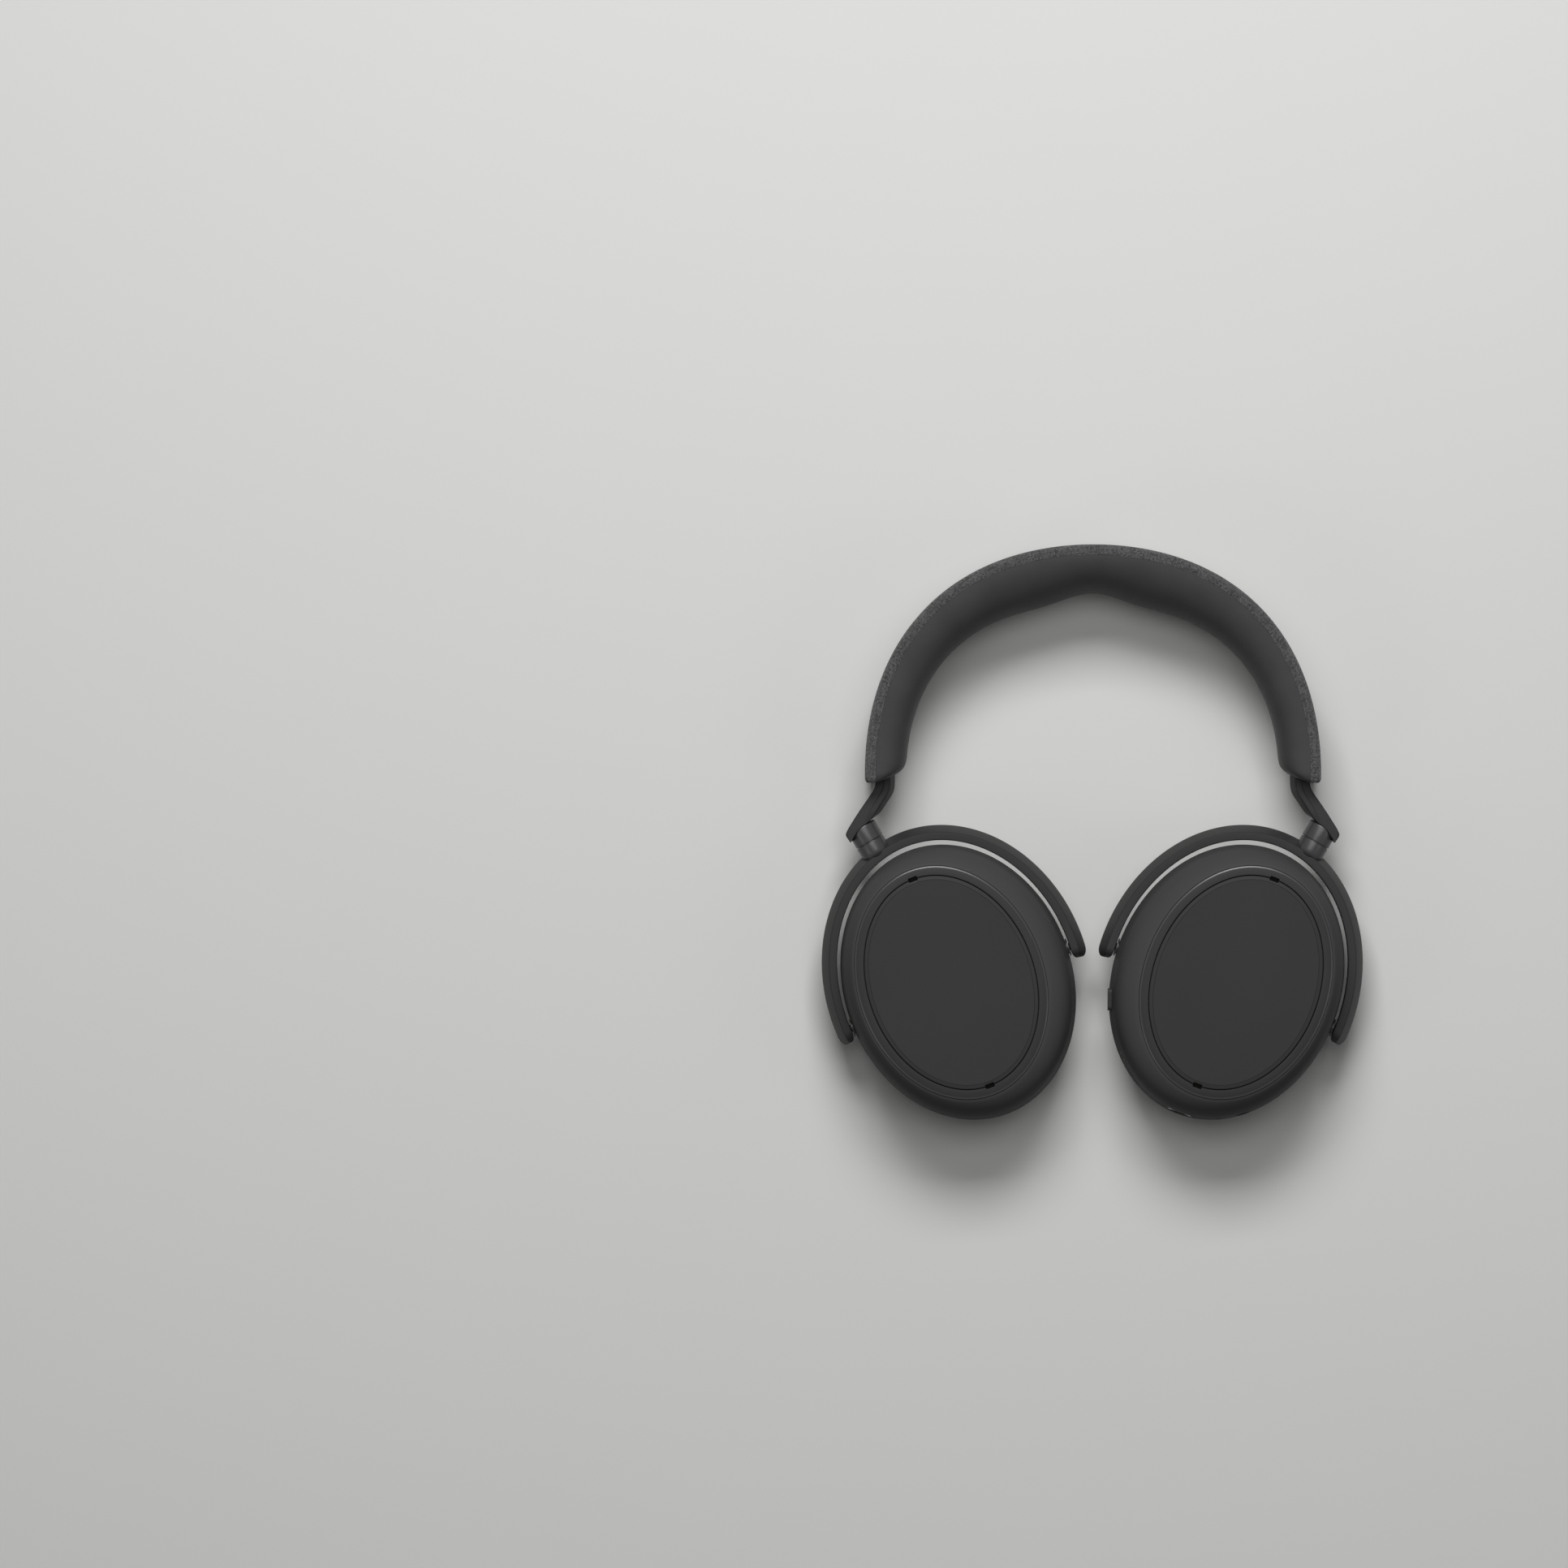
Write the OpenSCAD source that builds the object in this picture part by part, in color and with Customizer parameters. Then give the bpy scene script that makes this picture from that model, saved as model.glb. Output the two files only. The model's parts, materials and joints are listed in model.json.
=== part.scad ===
// Over-ear wireless headset with a padded headband, sliding arms, swivel hubs and tilting ear cups.
// It lies flat: ear cushions and the band's lower edge on the ground, outer plates up.
// +X is the wearer's right side, +Y runs to the crown of the band, +Z points away from the ground.

/* [Headband] */
// Outer radius of the band at the crown and at its ends
band_radius = 76; // [72:0.5:82]
// How far the shoulders of the band stand outside that radius
band_bulge = 2.3; // [0:0.1:4]
// Width of the band at the crown
band_width = 40; // [34:0.5:44]
// Width of the band at its ends
band_end_width = 29; // [26:0.5:32]
// Depth of the woven lip that wraps round each edge of the band
lip_depth = 3.5; // [3:0.1:5]
// Wall of the woven cover
cover_wall = 1.4; // [1:0.1:1.8]
// Depth of the padded band at its ends, from the outer face
pad_end_depth = 13.8; // [13:0.1:16]
// How much deeper the pad grows towards the crown
pad_rise = 6.2; // [4:0.1:8]
// Depth of the relief in the pad at the middle of the crown
pad_notch = 3.8; // [0:0.1:5]
// Half angle over which that relief fades out
notch_angle = 12; // [8:1:18]

/* [Band core] */
// Thickness of the nylon carrier under the cover
carrier_wall = 2; // [1.6:0.1:2.2]
// Thickness of the steel band spring
spring_wall = 0.8; // [0.6:0.1:1.2]
// Width of the steel band spring
spring_width = 12; // [9:0.5:14]
// Width of the ribbon cable that joins the two cups
ribbon_width = 6; // [4:0.5:9]
// Thickness of the ribbon cable
ribbon_wall = 0.3; // [0.2:0.1:0.6]

/* [Slider] */
// How far each arm slides out of the band
slide_travel = 24; // [16:1:24]
// Thickness of the steel slider strip
strip_wall = 1.8; // [1.4:0.1:2]
// Width of the steel slider strip
strip_width = 9; // [7:0.5:10]
// Length of the strip that stays in the band when the arm is pulled out
strip_hold = 7; // [6.6:0.1:7.4]
// Distance of the strip's centre line inside the band radius
strip_inset = 7.4; // [6.8:0.1:8]
// Clearance round the strip in its guide
slide_clearance = 0.12; // [0.08:0.02:0.2]

/* [Arm and swivel] */
// Thickness of the arm, seen along the ground normal
arm_wall = 5.4; // [4.6:0.1:6]
// Width of the arm
arm_width = 10.4; // [9.8:0.1:12]
// How far the swivel hub stands outside the arm's centre line
hub_reach = 3.7; // [3:0.1:5]
// How far the swivel joint lies below the end of the band
hub_drop = 19.7; // [18:0.1:24]
// Diameter of the swivel hub
hub_diameter = 10; // [9:0.2:11]
// Height of the hub ring on the arm
hub_height = 6.4; // [5.6:0.1:7.4]
// Angle between the swivel axis and the band's plane of symmetry
swivel_lean = 30; // [24:1:32]
// Diameter of the steel swivel pin
swivel_pin_d = 4; // [3:0.1:5]

/* [Yoke] */
// Clear gap between the cup and the yoke at the top of the cup
yoke_gap = 1.5; // [1.2:0.1:2.5]
// Clear gap between the cup and the yoke beside the pivots
yoke_side_gap = 0.9; // [0.8:0.1:1.4]
// Width of the yoke's flat outer face
yoke_face = 2.7; // [2.2:0.1:4]
// How far the yoke's flank flares out below that face
yoke_flare = 2.6; // [1:0.1:3]
// Height of the yoke
yoke_height = 8.4; // [7:0.2:9]
// How far the yoke runs on past its pivots
yoke_tail = 3.8; // [3.2:0.1:6]
// Diameter of the steel tilt pins
pivot_pin_d = 2.6; // [2:0.1:3]
// Outer diameter of the nylon pivot bushes
bush_d = 4.4; // [3.8:0.1:4.8]

/* [Ear cup] */
// Long diameter of the cup housing
cup_length = 94; // [88:0.5:98]
// Short diameter of the cup housing
cup_breadth = 76.4; // [74:0.2:79]
// Long diameter of the outer trim ring
trim_length = 79.8; // [74:0.2:82]
// Short diameter of the outer trim ring
trim_breadth = 62.2; // [58:0.2:64]
// Width of the trim ring
trim_width = 3.1; // [2:0.1:4]
// Lean of the cup's long axis
cup_lean = 20.5; // [14:0.5:24]
// How far the foot of the housing is set towards the middle of the headset
foot_inset = 2.3; // [0:0.1:3]
// How far the foot of the housing is set down the long axis
foot_drop = 1; // [0:0.1:2]
// Height of the housing from its rim to its shoulder
housing_height = 25; // [22:0.5:28]
// Height of the housing's crisp edge above its widest line
crease_rise = 11; // [8:0.5:13]
// How far that crisp edge lies inside the widest line
crease_draw = 1.3; // [0.8:0.1:2]
// Wall of the housing
housing_wall = 2; // [1.6:0.1:2.4]
// Distance of the tilt axis below the centre of the plate
pivot_drop = 2.9; // [1:0.1:4]

/* [Ear cushion] */
// Height of the ear cushion
cushion_height = 13.2; // [12:0.2:18]
// How far the cushion stays inside the cup's outline
cushion_inset = 2; // [1.8:0.1:4]
// Long diameter of the ear opening
ear_length = 59; // [54:0.5:62]
// Short diameter of the ear opening
ear_breadth = 41; // [37:0.5:44]

/* [Driver] */
// Diameter of the driver
driver_d = 41; // [36:0.5:42]
// Diameter of the driver magnet
magnet_d = 22; // [18:0.5:24]
// Height of the driver magnet
magnet_h = 5.5; // [4:0.1:6]

/* [Controls and sockets] */
// Length of the power button
button_length = 7.4; // [6:0.1:9]
// Width of the power button
button_width = 2.6; // [2:0.1:3]
// Travel of the power button
button_travel = 0.6; // [0.4:0.1:0.8]
// Distance between two battery lights
light_pitch = 2.8; // [2.2:0.1:3.2]
// Number of battery lights
light_count = 5; // [3:1:5]
// Width of a microphone slot in the plate
mic_slot = 3; // [2.4:0.1:3.6]

/* [Hidden] */
$fn = 48;
eps = 0.01;                 // overlap that joins solids of one piece
fit = 0.1;                  // clearance between pieces that are fixed together
soft_gap = 0.3;             // clearance round soft pieces
run_gap = 0.3;              // clearance between pieces that move past each other
bore_gap = 0.05;            // radial clearance of a pin in its bore
steps = 48;                 // points round an elliptical outline

// Heights, measured from the plane through the swivel and tilt axes
cushion_top = -6.8;                               // back of the ear cushion
ground = cushion_top - cushion_height;            // what the cushions lie on
lift = max(-ground, band_width / 2);              // axis plane above the lowest point
ring_wall = 1.8;
ring_low = cushion_top + fit;
baffle_wall = 2;
baffle_low = ring_low + ring_wall + fit;
baffle_top = baffle_low + baffle_wall;
rim_z = baffle_low + 0.4;                         // lower edge of the housing
wide_z = 1;                                       // height of the housing's widest line
shoulder_z = rim_z + housing_height;
recess_depth = 2;
deck_top = shoulder_z - recess_depth;
deck_low = deck_top - housing_wall;
face_z = shoulder_z + 0.6;                        // outer face of trim ring and plate

// Ear cup, in its own frame: X along the short axis, Y up the long axis, plate centre at 0
cup_a = cup_length / 2;
cup_b = cup_breadth / 2;
trim_a = trim_length / 2;
trim_b = trim_breadth / 2;
foot = [-foot_inset, -foot_drop];
shoulder_lip = 0.5;
rim_tuck = 1.6;                                   // how far the housing tucks in at its rim
side_full = cup_a - trim_a - shoulder_lip;         // draw of the housing's side at its shoulder
pivot_y = -pivot_drop;
cushion_a = cup_a - cushion_inset;
cushion_b = cup_b - cushion_inset;
post_a = cup_a - 11.5;                            // screw posts lie on this smaller ellipse
post_b = cup_b - 10.7;
post_d = 5;
screw_d = 2;
screw_length = 8;
screw_head_d = 3.8;
screw_head_h = 1;
port_z = 4.5;                                     // height of the sockets and lights

// Yoke ellipse round the foot of the housing
yoke_a = cup_a - foot_drop + yoke_gap + 0.4;
yoke_b = cup_b + yoke_side_gap;
yoke_c = [foot[0], -0.4];
yoke_from = asin((pivot_y - yoke_tail - yoke_c[1]) / (yoke_a + yoke_face));

// Swivel: the hub splits at hub_t along an axis through the plate centre
washer_wall = 0.45;
hub_t = yoke_a + yoke_face + yoke_flare + 0.85;
band_end_angle = 92.6;
end_y = -band_radius * sin(band_end_angle - 90);
arm_x = band_radius - 5.3;
hub = [arm_x + hub_reach, end_y - hub_drop];
cup_place = hub - hub_t * [sin(swivel_lean), cos(swivel_lean)];

// The bounding box is centred on the origin
cup_low_y = cup_place[1] + foot[0] * -sin(cup_lean) + foot[1] * cos(cup_lean)
    - norm([cup_a * cos(cup_lean), cup_b * sin(cup_lean)]);
centre_y = -(band_radius + cup_low_y) / 2;

// ---- placing ----

module headset() {
    translate([0, centre_y, lift])
        children();
}

// Left pieces are the mirror image of right ones
module side(s) {
    headset()
        mirror([s < 0 ? 1 : 0, 0, 0])
            children();
}

module cup(s) {
    side(s)
        translate([cup_place[0], cup_place[1], 0])
            rotate([0, 0, -cup_lean])
                children();
}

module cup_foot(s) {
    cup(s)
        translate([foot[0], foot[1], 0])
            children();
}

// Along the swivel axis, with Z up the axis and 0 at the plate centre
module swivel_axis(s) {
    side(s)
        translate([cup_place[0], cup_place[1], 0])
            rotate([0, 0, -swivel_lean])
                rotate([-90, 0, 0])
                    children();
}

// ---- shapes ----

function signed_power(v, e) = sign(v) * pow(abs(v), e);

function ellipse(a, b, count = steps) =
    [for (i = [0:count - 1]) [b * cos(360 * i / count), a * sin(360 * i / count)]];

module ellipse_prism(a, b, low, high) {
    translate([0, 0, low])
        linear_extrude(high - low)
            polygon(ellipse(a, b));
}

// Skin over rings of equally many points; a closed skin joins its last ring to its first.
// A ring that is not convex names the convex pieces of its end face in caps.
module skin(rings, closed = false, caps = undef) {
    n = len(rings[0]);
    m = len(rings);
    sides = [
        for (j = [0:closed ? m - 1 : m - 2], i = [0:n - 1])
            let (a = j * n + i, b = j * n + (i + 1) % n, up = ((j + 1) % m) * n)
                each [[a, up + i, b], [b, up + i, up + (i + 1) % n]]
    ];
    first = closed ? [] : caps == undef ? [[for (i = [0:n - 1]) i]] : caps;
    last = [
        for (f = first)
            [for (i = [0:len(f) - 1]) (m - 1) * n + f[(len(f) - i) % len(f)]]
    ];
    polyhedron(points = [for (r = rings) each r], faces = concat(sides, first, last));
}

// Corner i of an outline that runs counter-clockwise, moved inwards by d
function moved_in(points, i, d) =
    let (
        n = len(points),
        along = points[i] - points[(i + n - 1) % n],
        next = points[(i + 1) % n] - points[i],
        u = along / norm(along),
        v = next / norm(next)
    )
    points[i] + d / (1 + u * v) * [-u[1] - v[1], u[0] + v[0]];

// Flat piece of an outline, centred on z = 0, with a small bevel along both faces
module bevelled(points, thickness, bevel, caps) {
    levels = [
        [-thickness / 2, bevel], [-thickness / 2 + bevel, 0],
        [thickness / 2 - bevel, 0], [thickness / 2, bevel],
    ];
    skin([
        for (level = levels)
            [for (i = [0:len(points) - 1]) concat(moved_in(points, i, level[1]), level[0])]
    ], caps = caps);
}

// Rectangle with semicircular ends, standing on the plane z = 0
module stadium(length, width, height) {
    linear_extrude(height)
        union() {
            square([length - width, width], center = true);
            for (end = [-1, 1])
                translate([end * (length - width) / 2, 0])
                    circle(d = width);
        }
}

// ---- headband ----

function band_r(a) = band_radius + band_bulge * pow(sin(2 * a), 2);
function band_half(a) =
    (band_end_width + (band_width - band_end_width) * pow(cos(min(abs(a), 90)), 2)) / 2;
function pad_depth(a) = pad_end_depth + pad_rise * pow(cos(a), 2)
    - pad_notch * exp(-pow(a / notch_angle, 2));
// Rounds the last stretch of the band: 1 along the band, 0 at its very end
function end_round(a, reach) =
    let (u = max(0, (abs(a) - band_end_angle + reach) / reach)) sqrt(max(0, 1 - u * u));
// The band's end faces lie in one plane, square to the arms
function on_band(a, depth, z) =
    [(band_r(a) - depth) * sin(a), abs(a) < band_end_angle ? (band_r(a) - depth) * cos(a) : end_y, z];

// Stations along one half of the band: evenly spaced, then closer where its end is rounded
even_stations = 24;
end_stations = 6;
end_stretch = 7;
half_stations = concat(
    [for (i = [0:even_stations - 1]) (band_end_angle - end_stretch) * i / even_stations],
    [for (i = [0:end_stations]) band_end_angle - end_stretch * pow(1 - i / end_stations, 2)]
);
stations = concat(
    [for (i = [len(half_stations) - 1:-1:1]) -half_stations[i]],
    half_stations
);

guide_x = band_radius - strip_inset - strip_wall / 2 - 1.2;   // inner face of the slider guides
channel_half = strip_width / 2 + 3.5 + soft_gap;
carrier_low = cover_wall + fit;
spring_low = carrier_low + carrier_wall + fit;
ribbon_low = spring_low + spring_wall + fit;
rivet_grip = 2.4;                                             // guide wall that a rivet holds
rivet_head = 0.6;
guide_from = 60;                                              // angle where the guides start
ribbon_bed = ribbon_low + ribbon_wall + soft_gap;
guide_bed = spring_low + spring_wall + rivet_grip + rivet_head + soft_gap;
// Depth of the channel in the back of the pad
function channel(a) = max(
    abs(a) > guide_from - 4 ? guide_bed : ribbon_bed,
    band_r(a) - (guide_x - soft_gap) / max(sin(abs(a)), 0.1) + (abs(a) > 90 ? 0.2 : 0));

// Woven cover: outer wall, rounded corners and a lip round each edge
function cover_ring(a) =
    let (
        h = band_half(a) - 1.6 * (1 - end_round(a, 4)),
        t = cover_wall,
        corner = 2.2,
        half = [[lip_depth, h], [corner, h], [corner * 0.3, h - corner * 0.3], [0, h - corner]],
        inner = [[t, h - t], [lip_depth, h - t]]
    )
    concat(
        [for (p = half) on_band(a, p[0], -p[1])],
        [for (i = [3:-1:0]) on_band(a, half[i][0], half[i][1])],
        [for (i = [1:-1:0]) on_band(a, inner[i][0], inner[i][1])],
        [for (p = inner) on_band(a, p[0], -p[1])]
    );

// End face of the cover: its two lips, two corners and the wall between them
cover_caps = [[10, 11, 0, 1], [10, 1, 2, 3], [10, 3, 4, 9], [9, 4, 5, 6], [9, 6, 7, 8]];

module band_cover() {
    color("dimgray")
        headset()
            skin([for (a = stations) cover_ring(a)], caps = cover_caps);
}

pad_back = lip_depth + soft_gap;
end_slope = 2.7;                                  // how far the pad's end rises to its inner face

// Point of the pad: over the last stretch of the band its end slopes away from the cover
function on_pad(a, depth, z) =
    let (
        near = max(0, (abs(a) - band_end_angle + end_stretch) / end_stretch),
        deep = (depth - pad_back) / (pad_end_depth - pad_back)
    )
    on_band(a, depth, z) + [0, end_slope * pow(near, 2) * deep, 0];

// Padding: round and deep over the crown, flatter at the ends, with a channel in its back
function pad_ring(a) =
    let (
        h = band_half(a) - 0.4 - 1.6 * (1 - end_round(a, 4)),
        c = channel_half,
        e = 1 - 0.45 * pow(sin(min(abs(a), 90)), 2),
        bulge = (pad_depth(a) - pad_back) * (0.78 + 0.22 * end_round(a, 3)),
        bed = min(channel(a), pad_back + bulge - 0.6)
    )
    concat(
        [for (f = [90:-15:-90])
            on_pad(a, pad_back + bulge * signed_power(cos(f), e), h * signed_power(sin(f), e))],
        [on_pad(a, pad_back, -c), on_pad(a, bed, -c), on_pad(a, bed, c), on_pad(a, pad_back, c)]
    );

// End face of the pad: a lobe on each side of the channel and two strips over it
pad_caps = [[16, 0, 1, 2, 3, 4], [15, 16, 4, 5, 6], [14, 15, 6, 7, 8], [13, 14, 8, 9, 10, 11, 12]];

module band_cushion() {
    color("#2e2e30")
        headset()
            skin([for (a = stations) pad_ring(a)], caps = pad_caps);
}

// Flat strip that follows the band between two depths
module band_strip(from, to, low, high, width) {
    count = ceil((to - from) / 4);
    angles = [for (i = [0:count]) from + (to - from) * i / count];
    translate([0, 0, -width / 2])
        linear_extrude(width)
            polygon(concat(
                [for (a = angles) let (p = on_band(a, low, 0)) [p[0], p[1]]],
                [for (i = [count:-1:0]) let (p = on_band(angles[i], high, 0)) [p[0], p[1]]]
            ));
}

carrier_to = guide_from - 1;
spring_to = guide_from + 5;
spring_pocket = 0.15;
rivet_d = 2;

module band_carrier() {
    color("#1c1c1e")
        headset()
            difference() {
                band_strip(-carrier_to, carrier_to, carrier_low, carrier_low + carrier_wall,
                    band_end_width - 2 * cover_wall - 1);
                // lightening slots
                for (a = [-50:20:50])
                    rotate([0, 0, -a])
                        translate([0, band_radius, 0])
                            rotate([90, 0, 0])
                                translate([0, 0, -10])
                                    stadium(14, 6, 30);
            }
}

module band_spring() {
    color("silver")
        headset()
            difference() {
                band_strip(-spring_to, spring_to, spring_low, spring_low + spring_wall,
                    spring_width);
                rivet_places()
                    cylinder(d = rivet_d + 2 * bore_gap, h = 30, center = true);
            }
}

module band_ribbon() {
    color("darkorange")
        headset()
            band_strip(-carrier_to, carrier_to, ribbon_low, ribbon_low + ribbon_wall,
                ribbon_width);
}

rivet_angle = guide_from + 3;

// Z points out through the band at each rivet, with 0 on the band's outer face
module rivet_places() {
    for (s = [-1, 1], z = [-1, 1])
        rotate([0, 0, -s * rivet_angle])
            translate([0, band_r(rivet_angle), z * spring_width / 4])
                rotate([-90, 0, 0])
                    children();
}

module spring_rivets() {
    head_low = spring_low + spring_wall;
    color("silver")
        headset()
            rivet_places() {
                translate([0, 0, -head_low - rivet_grip])
                    cylinder(d = rivet_d, h = rivet_grip + spring_wall + 1.2);
                translate([0, 0, -head_low - rivet_grip - rivet_head])
                    cylinder(d = rivet_d + 1.4, h = rivet_head + eps);
            }
}

// ---- slider ----

strip_length = slide_travel + strip_hold;
strip_x = band_radius - strip_inset;
strip_top = end_y + strip_length;
guide_width = strip_width + 6;
guide_angles = [for (a = [guide_from:2.2:band_end_angle]) a];
detent_length = 8.4;
detent_y = end_y + strip_hold - 1.6;              // middle of the detent spring
detent_wall = 0.3;

module slider_guide(s) {
    top = on_band(guide_from, spring_low + spring_wall + rivet_grip, 0);
    color("#202022")
        side(s)
            difference() {
                translate([0, 0, -guide_width / 2])
                    linear_extrude(guide_width)
                        polygon(concat(
                            [for (a = guide_angles)
                                let (p = on_band(a, carrier_low, 0)) [p[0], p[1]]],
                            [[band_radius - carrier_low, end_y], [guide_x, end_y],
                             [guide_x, strip_top - 2], [top[0], top[1]]]
                        ));
                // way of the strip
                translate([strip_x, (end_y + strip_top) / 2, 0])
                    cube([strip_wall + 2 * slide_clearance, strip_length + 1,
                        strip_width + 2 * slide_clearance], center = true);
                // seat of the spring's end, and its rivets
                band_strip(guide_from - 4, spring_to + 1, spring_low - spring_pocket,
                    spring_low + spring_wall + spring_pocket, spring_width + 0.6);
                rotate([0, 0, -rivet_angle])
                    for (z = [-1, 1])
                        translate([0, band_r(rivet_angle), z * spring_width / 4])
                            rotate([-90, 0, 0]) {
                                cylinder(d = rivet_d + 2 * bore_gap, h = 40, center = true);
                                translate([0, 0, -spring_low - spring_wall - rivet_grip - 12])
                                    cylinder(d = rivet_d + 2, h = 12);
                            }
                // pocket of the detent spring
                translate([guide_x - 1, detent_y - detent_length / 2, -strip_width / 4])
                    cube([1.2 + 2, detent_length, strip_width / 2]);
            }
}

// Leaf spring with a bowed middle that clicks into the strip's notches
module detent_leaf() {
    bow = 0.75;
    half = detent_length / 2 - 0.2;
    count = 12;
    function leaf(i) = let (u = 2 * i / count - 1) [bow * pow(cos(90 * u), 2), half * u];
    translate([guide_x + 0.05, detent_y, -strip_width / 4 + 0.2])
        linear_extrude(strip_width / 2 - 0.4)
            polygon(concat(
                [for (i = [0:count]) leaf(i) + [detent_wall, 0]],
                [for (i = [count:-1:0]) leaf(i)]
            ));
}

module detent_springs() {
    color("silver")
        for (s = [-1, 1])
            side(s)
                detent_leaf();
}

notch_pitch = 2;
strip_foot = 5;                                   // how far the strip is set into the arm
strip_face = strip_x - strip_wall / 2;

module slider_strip(s) {
    color("#b8b8bc")
        side(s)
            difference() {
                translate([strip_face, end_y - run_gap - strip_foot, -strip_width / 2])
                    cube([strip_wall, strip_length + run_gap + strip_foot, strip_width]);
                // shallow click notches on the inner face
                for (i = [0:floor(slide_travel / notch_pitch)])
                    translate([strip_face - 0.1, detent_y + i * notch_pitch, 0])
                        cylinder(d = 0.9, h = strip_width / 2 + 0.4, center = true, $fn = 16);
                // wire slot
                translate([strip_face - 1, end_y + 1, -strip_width / 2 + 0.8])
                    cube([strip_wall + 2, strip_length - 12, 1.4]);
            }
}

// ---- arm ----

mouth_y = end_y - run_gap;
arm_in = arm_x - arm_wall / 2;
arm_out = arm_x + arm_wall / 2;
arm_bevel = 0.5;
elbow = 2.4;                                      // drop of the straight stretch below the band

// Place beside the hub: across the swivel axis, and up along it from the split
function at_hub(across, up) = hub
    + across * [cos(swivel_lean), -sin(swivel_lean)]
    + up * [sin(swivel_lean), cos(swivel_lean)];

hub_r = hub_diameter / 2;
arm_points = [
    [arm_in, mouth_y],
    [arm_in, mouth_y - elbow],
    [arm_in + 0.6, mouth_y - 2 * elbow],
    at_hub(-hub_r - 0.3, hub_height - 0.7),
    at_hub(-hub_r / 2, hub_height - 0.3),
    at_hub(hub_r * 0.3, hub_height - 1.1),
    at_hub(hub_r + 0.7, hub_height / 2 - 0.3),
    at_hub(hub_r + 0.8, hub_height - 0.4),
    at_hub(hub_r - 0.1, hub_height + 0.5),
    [arm_out + 0.4, mouth_y - elbow],
    [arm_out, mouth_y],
];
arm_caps = [[0, 1, 9, 10], [8, 9, 1, 2, 3, 4, 5], [8, 5, 6, 7]];
split_gap = 0.3;                                  // gap between the two rings of the hub

module arm(s) {
    color("#3a3a3c")
        difference() {
            union() {
                side(s)
                    bevelled(arm_points, arm_width, arm_bevel, arm_caps);
                swivel_axis(s)
                    translate([0, 0, hub_t + split_gap / 2])
                        cylinder(d = hub_diameter, h = hub_height);
            }
            swivel_axis(s)
                translate([0, 0, hub_t - 1])
                    cylinder(d = swivel_pin_d, h = hub_height);
            // socket of the slider strip
            side(s)
                translate([strip_face, mouth_y - strip_foot, -strip_width / 2])
                    cube([strip_wall, strip_foot + 1, strip_width]);
        }
}

pin_low = 0.4;                                    // the pin's head lies this deep in the yoke
pin_head_h = 1.1;
pin_head_d = swivel_pin_d + 2.4;
// Where the swivel axis leaves the inner face of the yoke
axis_turn = swivel_lean - cup_lean;
yoke_t = yoke_a * cos(axis_turn * 0.9) - 0.75;

module swivel_pin(s) {
    color("silver")
        swivel_axis(s) {
            translate([0, 0, yoke_t + pin_low])
                cylinder(d = pin_head_d, h = pin_head_h);
            translate([0, 0, yoke_t + pin_low + pin_head_h - eps])
                cylinder(d = swivel_pin_d, h = hub_t - 1 + hub_height - yoke_t - pin_low
                    - pin_head_h + eps);
        }
}

washer_d = hub_diameter - 2.2;
washer_top = hub_t + split_gap / 2 - bore_gap;

module swivel_washer(s) {
    color("#d8d4c8")
        swivel_axis(s)
            translate([0, 0, washer_top - washer_wall])
                difference() {
                    cylinder(d = washer_d, h = washer_wall);
                    translate([0, 0, -1])
                        cylinder(d = swivel_pin_d + 2 * fit, h = washer_wall + 2);
                }
}

// ---- yoke ----

// Section at turn t: flat face on top, flared flank, rounded under edge
function yoke_ring(t, close) =
    let (
        high = yoke_height / 2 - 0.8 * close,
        low = -yoke_height / 2 + 0.8 * close,
        edge = 0.5,
        section = [
            [0, low + 1], [1, low], [yoke_face + yoke_flare - 1.4, low],
            [yoke_face + yoke_flare, low + 1.6], [yoke_face + 0.25, high - edge],
            [yoke_face - 0.25, high], [0.3, high], [0, high - 0.3],
        ]
    )
    [for (p = section)
        let (w = p[0])
            [yoke_c[0] + (yoke_b + w) * cos(t), yoke_c[1] + (yoke_a + w) * sin(t), p[1]]];

module yoke_hoop() {
    count = 30;
    from = yoke_from;
    span = 180 - 2 * from;
    turns = [for (i = [count:-1:0]) from + span * i / count];
    tip = 0.9;                                    // turn over which the tips are rounded
    skin(concat(
        [yoke_ring(from + span + tip, 1)],
        [for (t = turns) yoke_ring(t, 0)],
        [yoke_ring(from - tip, 1)]
    ));
}

// Z points out through the yoke at each tilt pivot, with 0 on the foot's centre line
module pivots() {
    for (end = [-1, 1])
        translate([foot[0], pivot_y, 0])
            rotate([0, end * 90, 0])
                children();
}

pivot_in = cup_b - 4.4;                           // inner end of the tilt pins
pivot_hold = 3;                                   // how far a pin goes into the yoke

module yoke(s) {
    color("#363638")
        difference() {
            union() {
                cup(s)
                    yoke_hoop();
                // hub ring, which starts inside the hoop
                difference() {
                    swivel_axis(s)
                        translate([0, 0, yoke_t - 1])
                            cylinder(d = hub_diameter, h = hub_t - split_gap / 2 - yoke_t + 1);
                    cup(s)
                        translate([yoke_c[0], yoke_c[1], 0])
                            ellipse_prism(yoke_a + 0.5, yoke_b + 0.5, -hub_diameter, hub_diameter);
                }
            }
            swivel_axis(s) {
                translate([0, 0, yoke_t - 5])
                    cylinder(d = swivel_pin_d + 2 * bore_gap, h = hub_t + 5 - yoke_t + 5);
                translate([0, 0, yoke_t - 5])
                    cylinder(d = pin_head_d + 2 * fit, h = 5 + pin_low + pin_head_h + bore_gap);
                translate([0, 0, washer_top - washer_wall - bore_gap])
                    cylinder(d = washer_d + 2 * fit, h = washer_wall + 2);
            }
            cup(s)
                pivots()
                    cylinder(d = pivot_pin_d, h = yoke_b + pivot_hold);
        }
}

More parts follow.
